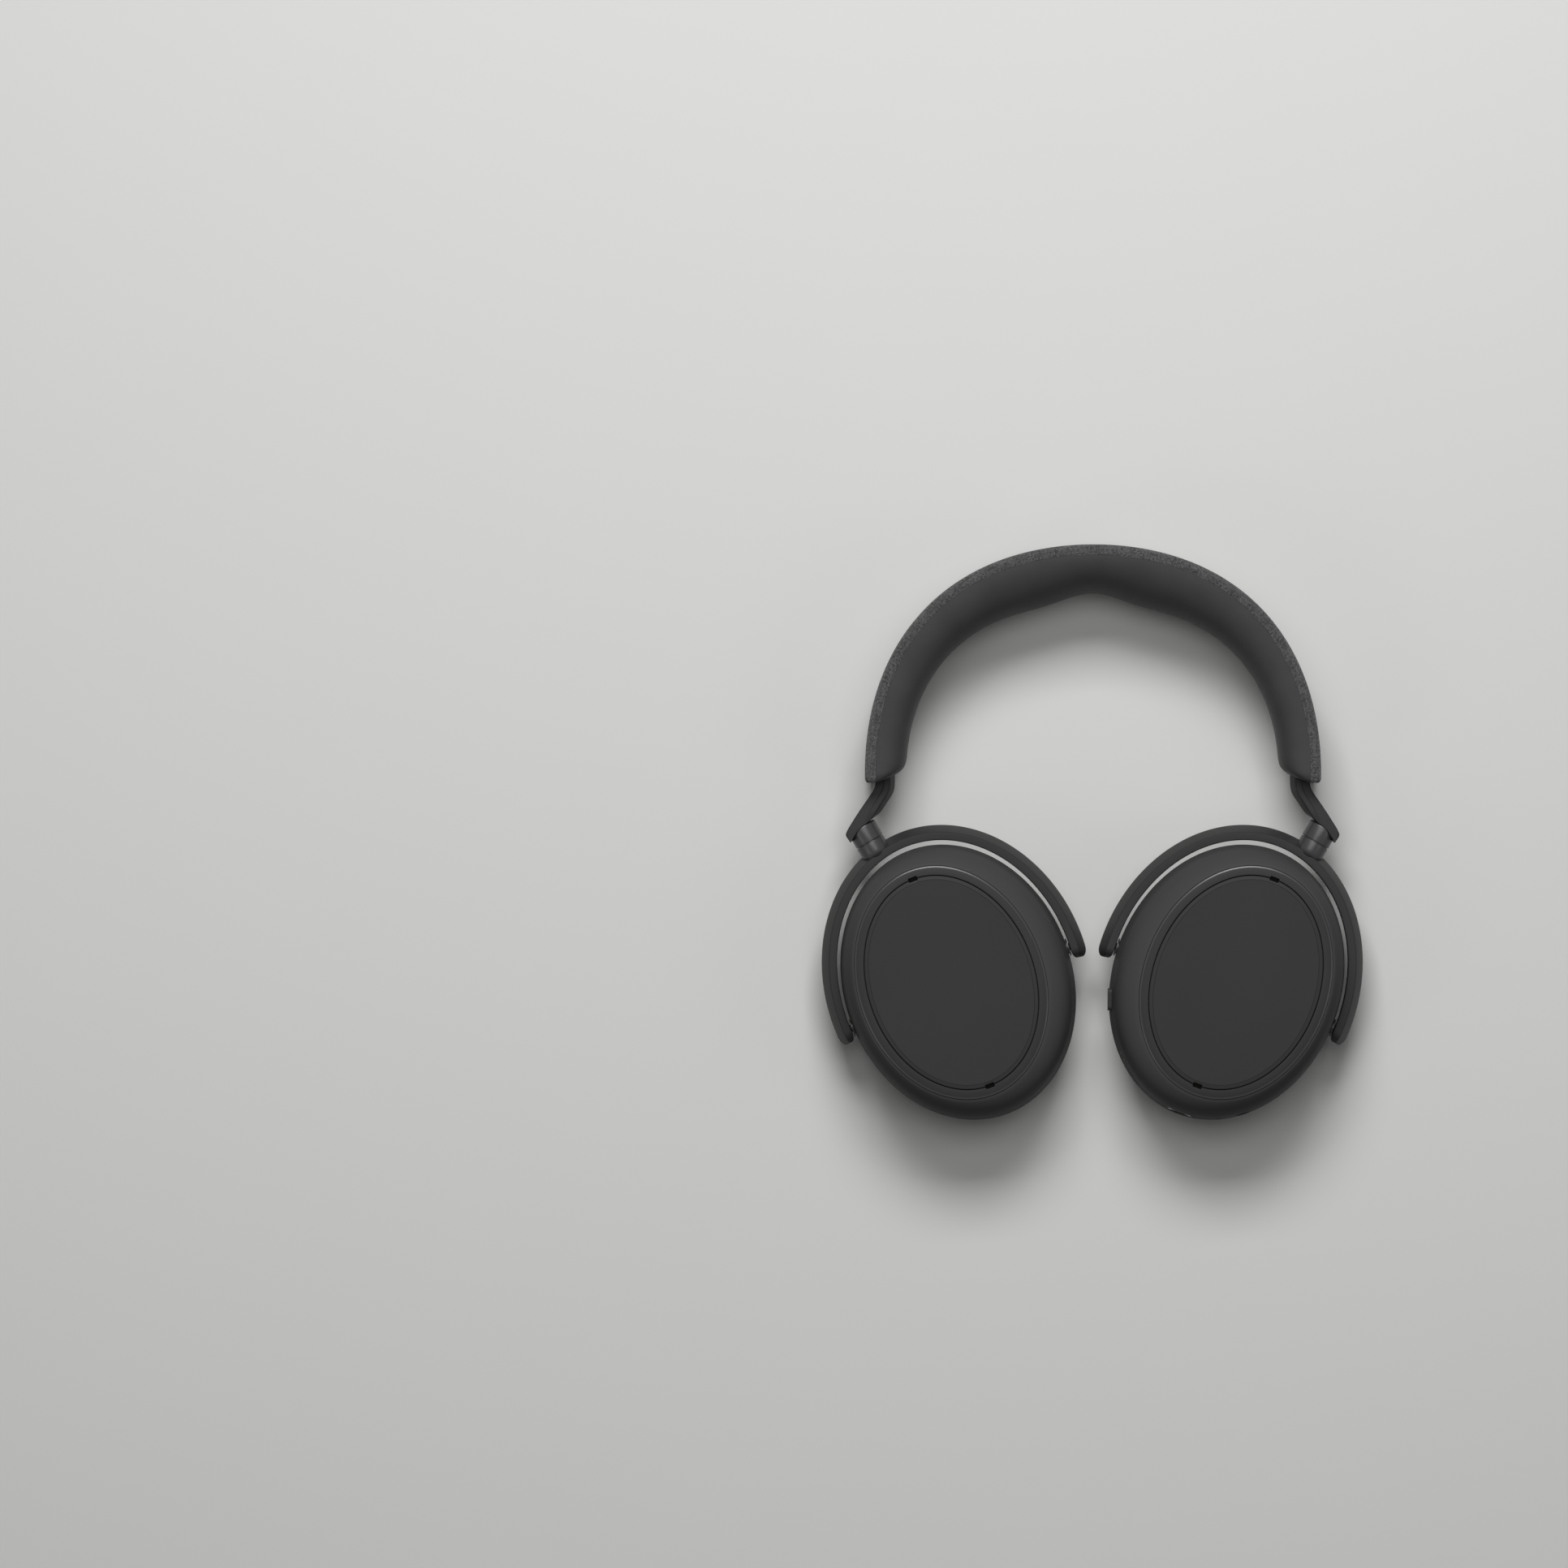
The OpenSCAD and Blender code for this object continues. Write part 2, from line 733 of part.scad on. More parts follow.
module pivot_pins(s) {
    color("silver")
        cup(s)
            pivots()
                translate([0, 0, pivot_in])
                    cylinder(d = pivot_pin_d, h = yoke_b + pivot_hold - pivot_in);
}

bush_flange_d = bush_d + 1.6;
bush_flange = 0.45;
bush_seat = cup_b + 0.1;                          // flat boss that carries the bush's flange
boss_d = bush_d + 3;                              // boss inside the housing, round each bush
boss_depth = housing_wall + 2;

module pivot_bushes(s) {
    color("#d8d4c8")
        cup(s)
            pivots()
                difference() {
                    union() {
                        translate([0, 0, pivot_in])
                            cylinder(d = bush_d, h = bush_seat - pivot_in);
                        translate([0, 0, bush_seat])
                            cylinder(d = bush_flange_d, h = bush_flange);
                    }
                    cylinder(d = pivot_pin_d + 2 * bore_gap, h = cup_b + 5);
                }
}

// ---- cup housing ----

crease_z = wide_z + crease_rise;                  // height of the housing's crisp edge
bevel_rings = 6;

// How far the housing's side at height z lies inside its widest line: a steep wall up to the crisp
// edge, then a bevel that leans in more and more
function side_draw(z) =
    let (
        wall = min(1, max(0, z - wide_z) / crease_rise),
        u = max(0, z - crease_z) / (shoulder_z - crease_z)
    )
    crease_draw * wall + (side_full - crease_draw) * (0.6 * u + 0.4 * u * u);

// Ellipse of the housing's outside at height z, drawn in by inset
function housing_ring(z, inset = 0, at = undef) =
    let (
        f = 1 - side_draw(z) / side_full,
        down = min(1, max(0, (wide_z - z) / (wide_z - rim_z))),
        tuck = rim_tuck * (1 - sqrt(1 - 0.94 * down * down)),
        a = (trim_a + shoulder_lip) * (1 - f) + cup_a * f - tuck - inset,
        b = (trim_b + shoulder_lip) * (1 - f) + cup_b * f - tuck - inset
    )
    [for (p = ellipse(a, b)) [p[0] + foot[0] * f, p[1] + foot[1] * f, at == undef ? z : at]];

outer_levels = concat(
    [rim_z, rim_z + 0.8, rim_z + 2.2, wide_z - 1.6, wide_z],
    [for (i = [0:bevel_rings]) crease_z + (shoulder_z - crease_z) * i / bevel_rings]
);
inner_levels = [wide_z, crease_z, (crease_z + deck_low) / 2, deck_low];

// Outward direction of the foot ellipse at turn t
function rim_normal(t) = let (n = [cos(t) / cup_b, sin(t) / cup_a]) n / norm(n);

// At turn t of the widest line: Z points outwards, X runs along the rim, Y points down
module on_rim(t, z = port_z) {
    n = rim_normal(t);
    translate([cup_b * cos(t), cup_a * sin(t), z])
        rotate([0, 0, atan2(n[1], n[0])])
            rotate([0, 90, 0])
                rotate([0, 0, 90])
                    children();
}

// Turns of the sockets and lights round the rim, and the rim's length per degree there
button_turn = 204;
lights_turn = 235.7;
usb_turn = 270;
mic_turn = 290;
jack_turn = 302.5;
light_step = light_pitch
    / (norm([cup_b * sin(lights_turn), cup_a * cos(lights_turn)]) * PI / 180);
light_turns = [for (i = [0:light_count - 1]) lights_turn + (i - (light_count - 1) / 2) * light_step];
light_d = 1.2;
usb_size = [8.94, 3.26, 7.35];
jack_nose_d = 4.6;
jack_bore_d = 2.6;
mic_hole_d = 1.4;
port_sink = 0.15;                                 // sockets and lights end this deep in the side
usb_mouth = side_draw(port_z + usb_size[1] / 2) + port_sink;
jack_mouth = side_draw(port_z + jack_nose_d / 2) + port_sink;
light_mouth = side_draw(port_z + light_d / 2) + port_sink;
board_z = port_z - usb_size[1] / 2 - 0.05;        // top of the port board
board_wall = 1;
button_slot = [button_length + 2 * fit, button_width + 2 * fit];

module screw_posts() {
    for (t = [45:90:315])
        translate([post_b * cos(t), post_a * sin(t), 0])
            children();
}

// Part of an elliptical wall between two turns, as a wedge-cut ring
module rim_sector(inset_out, inset_in, from, to, low, high) {
    count = ceil((to - from) / 6);
    turns = [for (i = [0:count]) from + (to - from) * i / count];
    translate([0, 0, low])
        linear_extrude(high - low)
            polygon(concat(
                [for (t = turns) [(cup_b - inset_out) * cos(t), (cup_a - inset_out) * sin(t)]],
                [for (i = [count:-1:0])
                    [(cup_b - inset_in) * cos(turns[i]), (cup_a - inset_in) * sin(turns[i])]]
            ));
}

module cup_housing(s) {
    color("#343436")
        difference() {
            union() {
                difference() {
                    cup(s)
                        skin([for (z = outer_levels) housing_ring(z)]);
                    // hollow, open at the rim
                    cup(s)
                        skin(concat(
                            [housing_ring(wide_z, housing_wall, rim_z - 1)],
                            [for (z = inner_levels) housing_ring(z, housing_wall)]
                        ));
                    // recess of trim ring and plate
                    cup(s)
                        ellipse_prism(trim_a + fit, trim_b + fit, deck_top, shoulder_z + 5);
                }
                cup_foot(s)
                    screw_posts()
                        translate([0, 0, baffle_top])
                            cylinder(d = post_d, h = deck_low - baffle_top + eps);
                // bosses of the tilt pivots
                cup(s)
                    pivots() {
                        translate([0, 0, cup_b - boss_depth])
                            cylinder(d = boss_d, h = boss_depth - 0.4);
                        translate([0, 0, cup_b - 1])
                            cylinder(d = bush_flange_d, h = bush_seat - cup_b + 1);
                    }
                if (s > 0)
                    cup_foot(s)
                        rim_sector(housing_wall - 0.3, housing_wall + 2, button_turn - 6,
                            jack_turn + 6, board_z - board_wall - 1.1, board_z - board_wall - fit);
            }
            cup(s)
                pivots()
                    cylinder(d = bush_d, h = cup_b + 5);
            cup_foot(s)
                screw_posts()
                    translate([0, 0, baffle_top - 1])
                        cylinder(d = screw_d, h = screw_length + 1);
            cup_foot(s)
                on_rim(s > 0 ? mic_turn : jack_turn)
                    cylinder(d = mic_hole_d, h = 12, center = true);
            if (s > 0)
                cup_foot(s) {
                    on_rim(usb_turn)
                        translate([0, 0, -6])
                            stadium(usb_size[0] + 2 * fit, usb_size[1] + 2 * fit, 12);
                    on_rim(jack_turn)
                        cylinder(d = jack_nose_d + 2 * fit, h = 12, center = true);
                    for (t = light_turns)
                        on_rim(t)
                            cylinder(d = light_d + 2 * fit, h = 12, center = true);
                    on_rim(button_turn)
                        translate([0, 0, -6])
                            stadium(button_slot[0], button_slot[1], 12);
                }
        }
}

// ---- trim ring, plate and microphones ----

groove = 0.35;
plate_a = trim_a - trim_width - groove;
plate_b = trim_b - trim_width - groove;
plate_bevel = 1.3;
plate_low = deck_top + 0.6;
slot_y = trim_a - trim_width - groove / 2;
slot_width = 1.5;

function flat_ring(a, b, z) = [for (p = ellipse(a, b)) [p[0], p[1], z]];

module mic_slots(grow = 0) {
    for (end = [-1, 1])
        translate([0, end * slot_y, deck_top + 5])
            cube([mic_slot + grow, slot_width + grow, 12], center = true);
}

module trim_ring(s) {
    edge = 0.4;
    color("#4a4a4c")
        cup(s)
            difference() {
                skin([
                    flat_ring(trim_a, trim_b, deck_top),
                    flat_ring(trim_a, trim_b, face_z - edge),
                    flat_ring(trim_a - edge, trim_b - edge, face_z),
                ]);
                ellipse_prism(trim_a - trim_width, trim_b - trim_width, deck_top - 1, face_z + 1);
                mic_slots();
            }
}

module outer_plate(s) {
    color("#3e3e40")
        cup(s)
            difference() {
                skin([
                    flat_ring(plate_a, plate_b, plate_low),
                    flat_ring(plate_a, plate_b, face_z - 0.25),
                    flat_ring(plate_a - plate_bevel, plate_b - plate_bevel, face_z),
                ]);
                mic_slots();
            }
}

module microphones(s) {
    color("#9a8f70") {
        cup(s)
            for (end = [-1, 1])
                translate([0, end * slot_y, deck_top + fit / 2 + 0.4])
                    cube([mic_slot - 0.2, slot_width - 0.2, 0.8], center = true);
        cup_foot(s)
            on_rim(s > 0 ? mic_turn : jack_turn)
                translate([0, 0, -housing_wall - 1.5])
                    cube([3, 2.4, 1.2], center = true);
    }
}

// ---- baffle, screws and driver ----

baffle_a = cup_a - housing_wall - fit;
baffle_b = cup_b - housing_wall - fit;
window_d = driver_d - 6;
grille_hole = 2.4;
grille_rings = 4;

module baffle(s) {
    color("#242426")
        cup_foot(s)
            difference() {
                ellipse_prism(baffle_a, baffle_b, baffle_low, baffle_top);
                // grille in front of the driver: rings of round holes about a middle one
                cylinder(d = grille_hole, h = 30, center = true);
                for (ring = [1:grille_rings], i = [0:6 * ring - 1])
                    rotate([0, 0, 60 * i / ring])
                        translate([ring * (window_d - grille_hole) / (2 * grille_rings + 0.6), 0, 0])
                            cylinder(d = grille_hole, h = 30, center = true);
                screw_posts() {
                    cylinder(d = screw_d + 2 * fit, h = 30, center = true);
                    translate([0, 0, baffle_low - 1])
                        cylinder(d = screw_head_d + 2 * fit, h = 1 + screw_head_h + fit);
                }
                // notches that let the pivot bosses pass
                for (end = [-1, 1])
                    translate([end * baffle_b, pivot_y - foot[1], 0])
                        cube([2 * (boss_depth - housing_wall + 0.8), boss_d + 1, 30], center = true);
            }
}

module cup_screws(s) {
    color("silver")
        cup_foot(s)
            screw_posts()
                translate([0, 0, baffle_low])
                    difference() {
                        union() {
                            cylinder(d = screw_head_d, h = screw_head_h);
                            cylinder(d = screw_d, h = screw_length);
                        }
                        for (turn = [0, 90])
                            rotate([0, 0, turn])
                                cube([2.2, 0.5, 1.2], center = true);
                    }
}

basket_wall = 0.8;
basket_top = baffle_top + fit + 6;
cone_d = driver_d - 3;

module driver_basket(s) {
    low = baffle_top + fit;
    color("#2a2a2c")
        cup_foot(s)
            difference() {
                rotate_extrude()
                    polygon([
                        [driver_d / 2, low], [driver_d / 2, low + 1.2], [cone_d / 2, low + 1.2],
                        [magnet_d / 2 + 2, basket_top], [4, basket_top],
                        [4, basket_top - basket_wall], [magnet_d / 2 + 1.4, basket_top - basket_wall],
                        [cone_d / 2 - 0.8, low + 1], [cone_d / 2 - 0.8, low],
                    ]);
                for (turn = [0:60:300])
                    rotate([0, 0, turn])
                        translate([magnet_d / 2 + 4.2, 0, basket_top - 3])
                            cylinder(d = 3.4, h = 20, center = true);
            }
}

module driver_magnet(s) {
    color("#707276")
        cup_foot(s)
            translate([0, 0, basket_top + fit / 2])
                difference() {
                    union() {
                        cylinder(d = magnet_d, h = magnet_h - 0.8);
                        cylinder(d = magnet_d - 1.6, h = magnet_h);
                    }
                    translate([0, 0, -1])
                        cylinder(d = 3, h = magnet_h + 3);
                }
}

// Thin cone with a rolled surround and a centre dome
module diaphragm(s) {
    low = baffle_top + fit + 0.3;
    edge = cone_d / 2 - 1;
    film = 0.3;
    count = 18;
    function height(u) = u > 0.68
        ? 0.9 * sin(180 * (u - 0.68) / 0.32)
        : 0.4 + (u > 0.36 ? 1.1 * (0.68 - u) / 0.32 : 1.1 + 0.9 * sqrt(1 - pow(u / 0.36, 2)));
    color("#c9b98c")
        cup_foot(s)
            rotate_extrude()
                polygon(concat(
                    [for (i = [0:count]) let (u = i / count) [edge * u, low + height(u)]],
                    [for (i = [count:-1:0]) let (u = i / count) [edge * u, low + height(u) + film]]
                ));
}

// ---- ear cushion ----

ear_a = ear_length / 2;
ear_b = ear_breadth / 2;
cushion_steps = 48;
squash = 0.5;                                     // depth by which the cushion lies flat

// Section of the cushion at turn t: rounded, pulled in at its back, flat where it lies
function cushion_ring_points(t) =
    let (
        rise_half = (cushion_height + 2 * squash) / 2,
        mid_z = ground + cushion_height / 2
    )
    [for (i = [0:15])
        let (
            f = 22.5 * i,
            w = 0.5 + 0.5 * signed_power(cos(f), 0.78) * (sin(f) > 0.75 ? 0.94 : 1),
            z = mid_z + rise_half * signed_power(sin(f), 0.72)
        )
        [(ear_b + (cushion_b - ear_b) * w) * cos(t), (ear_a + (cushion_a - ear_a) * w) * sin(t),
            min(cushion_top, max(ground, z))]];

module ear_cushion(s) {
    color("#2c2c2e")
        cup_foot(s)
            skin([for (i = [0:cushion_steps - 1])
                cushion_ring_points(-360 * i / cushion_steps)], closed = true);
}

module cushion_ring(s) {
    color("#1e1e20")
        cup_foot(s)
            difference() {
                ellipse_prism(cushion_a - 1, cushion_b - 1, ring_low, ring_low + ring_wall);
                ellipse_prism(ear_a - 1.5, ear_b - 1.5, ring_low - 1, ring_low + ring_wall + 1);
            }
}

module scrim(s) {
    color("#161618")
        cup_foot(s)
            ellipse_prism(ear_a - soft_gap, ear_b - soft_gap, ring_low - 0.35, ring_low - 0.05);
}

// ---- electronics ----

module battery_left() {
    size = [24, 36, 5];
    color("silver")
        cup_foot(-1)
            translate([0, 0, deck_low - fit - size[2] / 2])
                hull()
                    for (x = [-1, 1])
                        translate([x * (size[0] / 2 - 1.5), 0, 0])
                            rotate([90, 0, 0])
                                scale([0.6, 1, 1])
                                    cylinder(d = size[2], h = size[1], center = true, $fn = 24);
}

module charge_board_left() {
    color("darkgreen")
        cup_foot(-1)
            translate([0, -26, deck_low - fit - 0.5]) {
                cube([20, 8, 1], center = true);
                translate([4, 0, -0.9])
                    cube([4, 4, 1], center = true);
                translate([-4, 0, -0.8])
                    cube([3, 5, 0.8], center = true);
            }
}

module main_board_right() {
    top = deck_low - fit;
    color("darkgreen")
        cup_foot(1)
            difference() {
                union() {
                    ellipse_prism(30, 19, top - board_wall, top);
                    for (part = [[0, 8, 9, 9], [-8, -10, 6, 5], [7, -12, 5, 7], [9, 2, 3, 4]])
                        translate([part[0], part[1], top - board_wall - 0.5])
                            cube([part[2], part[3], 1.1], center = true);
                }
                for (end = [-1, 1])
                    translate([0, end * 26, 0])
                        cylinder(d = 2.2, h = 60, center = true);
            }
}

module touch_board_right() {
    color("#8a6a2a")
        cup(1)
            ellipse_prism(plate_a - 3, plate_b - 3, deck_top + 0.05, plate_low - 0.05);
}

module port_board_right() {
    color("darkgreen")
        cup_foot(1)
            rim_sector(housing_wall + 0.9, housing_wall + 6, button_turn - 4, jack_turn + 5,
                board_z - board_wall, board_z);
}

// Metal shell with a tongue, open outwards
module usb_port_right() {
    wall = 0.35;
    color("silver")
        cup_foot(1)
            on_rim(usb_turn)
                translate([0, 0, -usb_size[2] - usb_mouth]) {
                    difference() {
                        stadium(usb_size[0], usb_size[1], usb_size[2]);
                        translate([0, 0, 1])
                            stadium(usb_size[0] - 2 * wall, usb_size[1] - 2 * wall, usb_size[2]);
                    }
                    translate([0, 0, usb_size[2] / 2])
                        cube([6.6, 0.7, usb_size[2] - 1.6], center = true);
                }
}

module audio_jack_right() {
    body = [5.6, 3.1, 6];
    color("#1a1a1c")
        cup_foot(1)
            on_rim(jack_turn)
                difference() {
                    union() {
                        translate([0, 0, -housing_wall - 0.8 - body[2] / 2])
                            cube(body, center = true);
                        translate([0, 0, -housing_wall - 0.8 - eps])
                            cylinder(d = jack_nose_d, h = housing_wall + 0.8 + eps - jack_mouth);
                    }
                    translate([0, 0, -housing_wall - 6])
                        cylinder(d = jack_bore_d, h = 20);
                }
}

module battery_lights_right() {
    color("white")
        cup_foot(1)
            for (t = light_turns)
                on_rim(t)
                    translate([0, 0, -housing_wall - 0.8])
                        cylinder(d = light_d, h = housing_wall + 0.8 - light_mouth);
}

button_proud = 0.5;
button_flange = 0.7;
// Depth of the flange's outer face, clear of the curved wall inside
button_rest = housing_wall + side_draw(port_z + button_width / 2) + 0.7;

module power_button_right() {
    color("#4a4a4c")
        cup_foot(1)
            on_rim(button_turn)
                translate([0, 0, -button_rest]) {
                    stadium(button_length, button_width, button_rest + button_proud);
                    translate([0, 0, -button_flange])
                        stadium(button_length + 1.4, button_width - 0.4, button_flange + eps);
                }
}

module button_switch_right() {
    body = [4.4, 3, 2];
    color("#2a2a2c")
        cup_foot(1)
            on_rim(button_turn)
                translate([0, 0, -button_rest - button_flange - button_travel - 0.05]) {
                    translate([0, 0, -body[2] / 2 - 0.4])
                        cube(body, center = true);
                    translate([0, 0, -0.5])
                        cylinder(d = 1.6, h = 0.5);
                }
}

// ---- nodes ----

band_cover();
band_cushion();
band_carrier();
band_spring();
band_ribbon();
spring_rivets();
slider_guide(-1);  // slider_guide_left
slider_guide(1);  // slider_guide_right
detent_springs();
arm(-1);  // arm_left
arm(1);  // arm_right
slider_strip(-1);  // slider_strip_left
slider_strip(1);  // slider_strip_right
swivel_pin(-1);  // swivel_pin_left
swivel_pin(1);  // swivel_pin_right
swivel_washer(-1);  // swivel_washer_left
swivel_washer(1);  // swivel_washer_right
yoke(-1);  // yoke_left
yoke(1);  // yoke_right
pivot_pins(-1);  // pivot_pins_left
pivot_pins(1);  // pivot_pins_right
cup_housing(-1);  // cup_housing_left
cup_housing(1);  // cup_housing_right
pivot_bushes(-1);  // pivot_bushes_left
pivot_bushes(1);  // pivot_bushes_right
trim_ring(-1);  // trim_ring_left
trim_ring(1);  // trim_ring_right
outer_plate(-1);  // outer_plate_left
outer_plate(1);  // outer_plate_right
microphones(-1);  // microphones_left
microphones(1);  // microphones_right
baffle(-1);  // baffle_left
baffle(1);  // baffle_right
cup_screws(-1);  // cup_screws_left
cup_screws(1);  // cup_screws_right
driver_basket(-1);  // driver_basket_left
driver_basket(1);  // driver_basket_right
driver_magnet(-1);  // driver_magnet_left
driver_magnet(1);  // driver_magnet_right
diaphragm(-1);  // diaphragm_left
diaphragm(1);  // diaphragm_right
cushion_ring(-1);  // cushion_ring_left
cushion_ring(1);  // cushion_ring_right
ear_cushion(-1);  // ear_cushion_left
ear_cushion(1);  // ear_cushion_right
scrim(-1);  // scrim_left
scrim(1);  // scrim_right
battery_left();
charge_board_left();
main_board_right();
touch_board_right();
port_board_right();
usb_port_right();
audio_jack_right();
battery_lights_right();
button_switch_right();
power_button_right();
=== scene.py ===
"""Finishes an over-ear headset: woven band, leatherette pads and satin cups round its CAD frame."""

import json
import math

import bpy
import numpy as np
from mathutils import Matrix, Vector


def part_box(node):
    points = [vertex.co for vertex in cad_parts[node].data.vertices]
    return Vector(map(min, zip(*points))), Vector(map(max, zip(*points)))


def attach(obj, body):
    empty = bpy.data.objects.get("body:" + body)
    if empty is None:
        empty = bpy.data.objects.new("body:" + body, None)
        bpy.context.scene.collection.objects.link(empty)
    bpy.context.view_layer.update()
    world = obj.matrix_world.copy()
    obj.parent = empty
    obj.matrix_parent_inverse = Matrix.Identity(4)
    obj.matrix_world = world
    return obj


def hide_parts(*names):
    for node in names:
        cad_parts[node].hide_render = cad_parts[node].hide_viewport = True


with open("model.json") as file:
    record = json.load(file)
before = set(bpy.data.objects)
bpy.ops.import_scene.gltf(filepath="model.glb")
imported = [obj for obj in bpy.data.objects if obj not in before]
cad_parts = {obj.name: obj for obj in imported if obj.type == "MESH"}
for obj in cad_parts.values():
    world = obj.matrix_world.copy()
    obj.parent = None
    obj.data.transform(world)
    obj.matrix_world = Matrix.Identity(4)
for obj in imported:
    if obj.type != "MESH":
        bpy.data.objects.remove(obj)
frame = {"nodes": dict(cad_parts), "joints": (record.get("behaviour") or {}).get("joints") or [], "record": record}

bl_info = {
    "name": "Over-ear headset finisher",
    "version": (1, 0, 0),
    "blender": (4, 5, 0),
    "location": "3D View > Sidebar > Headset",
    "description": "Builds the finished surfaces of an over-ear headset round its CAD frame",
    "category": "Object",
}

# ---------------------------------------------------------------- the frame

MM = 0.001
SIDES = {"left": -1, "right": 1}
JOINTS = {joint["name"]: joint for joint in frame["joints"]}
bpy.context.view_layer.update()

SWIVEL = JOINTS["swivel_right"]
TILT = JOINTS["tilt_right"]
CUP_CENTRE = np.array(SWIVEL["pos_m"])  # centre of the right plate, on the axis plane
SWIVEL_LEAN = math.asin(abs(SWIVEL["axis"][0]))
CUP_LEAN = math.asin(abs(TILT["axis"][1]))
AXIS_HEIGHT = CUP_CENTRE[2]

# Heights in the cup, measured from the plane through the swivel and tilt axes
FACE_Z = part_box("outer_plate_right")[1].z - AXIS_HEIGHT
SHOULDER_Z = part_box("cup_housing_right")[1].z - AXIS_HEIGHT
RIM_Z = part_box("cup_housing_right")[0].z - AXIS_HEIGHT
PLATE_LOW_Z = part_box("outer_plate_right")[0].z - AXIS_HEIGHT
DECK_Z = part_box("trim_ring_right")[0].z - AXIS_HEIGHT
GROUND_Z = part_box("ear_cushion_right")[0].z - AXIS_HEIGHT
CUSHION_TOP_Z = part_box("ear_cushion_right")[1].z - AXIS_HEIGHT
WIDE_Z = 1 * MM  # the housing's widest line

POLE = 0.01 * MM  # radius at which a surface closes on its axis
TINY = 1e-9  # keeps a value off zero, or off its last place


def hex_colour(code):
    """Linear colour of an sRGB hex code such as "3A3A3C"."""
    srgb = [int(code[i:i + 2], 16) / 255 for i in (0, 2, 4)]
    return [c / 12.92 if c <= 0.04045 else ((c + 0.055) / 1.055) ** 2.4 for c in srgb]


def length(name, description, default):
    """A size in metres, for a property group."""
    return bpy.props.FloatProperty(name=name, description=description, default=default, unit="LENGTH",
                                   precision=5)


def colour(name, description, code):
    """A colour given by its sRGB hex code, for a property group."""
    return bpy.props.FloatVectorProperty(name=name, description=description, subtype="COLOR", size=3,
                                         min=0, max=1, default=hex_colour(code))


class HeadsetSizes(bpy.types.PropertyGroup):
    """Sizes of the finished surfaces."""

    band_radius: length("Band radius", "Outer radius of the band at the crown", 76 * MM)
    band_bulge: length("Band bulge", "How far the band's shoulders stand outside that radius", 2.3 * MM)
    band_width: length("Band width", "Width of the band at the crown", 40 * MM)
    band_end_width: length("Band end width", "Width of the band at its ends", 29 * MM)
    lip_depth: length("Lip depth", "Depth of the woven lip round each edge of the band", 3.5 * MM)
    cover_wall: length("Cover wall", "Wall of the woven cover", 1.4 * MM)
    pad_end_depth: length("Pad end depth", "Depth of the band with its pad, at the ends", 13.8 * MM)
    pad_rise: length("Pad rise", "How much deeper the pad grows towards the crown", 6.2 * MM)
    pad_notch: length("Pad relief", "Depth of the relief in the pad at the crown", 3.8 * MM)
    pad_slope: length("Pad end slope", "How far the pad's end would rise over its full depth", 3.9 * MM)
    pad_corner: length("Pad corner", "How far from its end the pad starts to curve in", 10.5 * MM)
    thread: length("Thread spacing", "Distance between two threads of the woven cover", 0.4 * MM)
    hub_diameter: length("Hub diameter", "Diameter of the swivel hub", 10 * MM)
    cup_length: length("Cup length", "Long diameter of the cup housing", 94 * MM)
    cup_breadth: length("Cup breadth", "Short diameter of the cup housing", 76.4 * MM)
    trim_length: length("Trim length", "Long diameter of the outer trim ring", 79.8 * MM)
    trim_breadth: length("Trim breadth", "Short diameter of the outer trim ring", 62.2 * MM)
    trim_width: length("Trim width", "Width of the trim ring", 3.1 * MM)
    crease_rise: length("Crease rise", "Height of the housing's crisp edge above its widest line", 11 * MM)
    crease_draw: length("Crease draw", "How far that edge lies inside the widest line", 1.3 * MM)
    foot_inset: length("Foot inset", "How far the housing's foot is set towards the middle", 2.3 * MM)
    foot_drop: length("Foot drop", "How far the housing's foot is set down the long axis", 1 * MM)
    yoke_gap: length("Yoke gap", "Clear gap between cup and yoke at the top of the cup", 1.5 * MM)
    yoke_side_gap: length("Yoke side gap", "Clear gap between cup and yoke beside the pivots", 0.9 * MM)
    yoke_face: length("Yoke face", "Width of the yoke's flat outer face", 2.7 * MM)
    yoke_flare: length("Yoke flare", "How far the yoke's flank flares out below its face", 2.6 * MM)
    ear_length: length("Ear length", "Long diameter of the ear opening", 59 * MM)
    ear_breadth: length("Ear breadth", "Short diameter of the ear opening", 41 * MM)
    cushion_inset: length("Cushion inset", "How far the ear cushion stays inside the cup", 2 * MM)
    mic_slot: length("Microphone slot", "Width of a microphone slot in the plate", 3 * MM)
    port_height: length("Port height", "Height of the sockets and lights above the tilt axis", 4.5 * MM)
    light_pitch: length("Light pitch", "Distance between two battery lights", 2.8 * MM)


class HeadsetColours(bpy.types.PropertyGroup):
    """Base colours of the finishes."""

    cloth_dark: colour("Cloth, dark yarn", "Darker yarn of the woven cover", "111111")
    cloth_light: colour("Cloth, light yarn", "Lighter yarn of the woven cover", "6D6D6D")
    leatherette: colour("Leatherette", "Coated cloth of the pads", "3D3D3D")
    satin: colour("Satin plastic", "Plates, trim rings, arms and yokes", "363636")
    housing: colour("Housing plastic", "Cup housings", "494949")
    inner: colour("Inner plastic", "Mouldings inside the band and cups", "1B1B1B")
    floor: colour("Floor", "The plain floor", "DDDDDB")


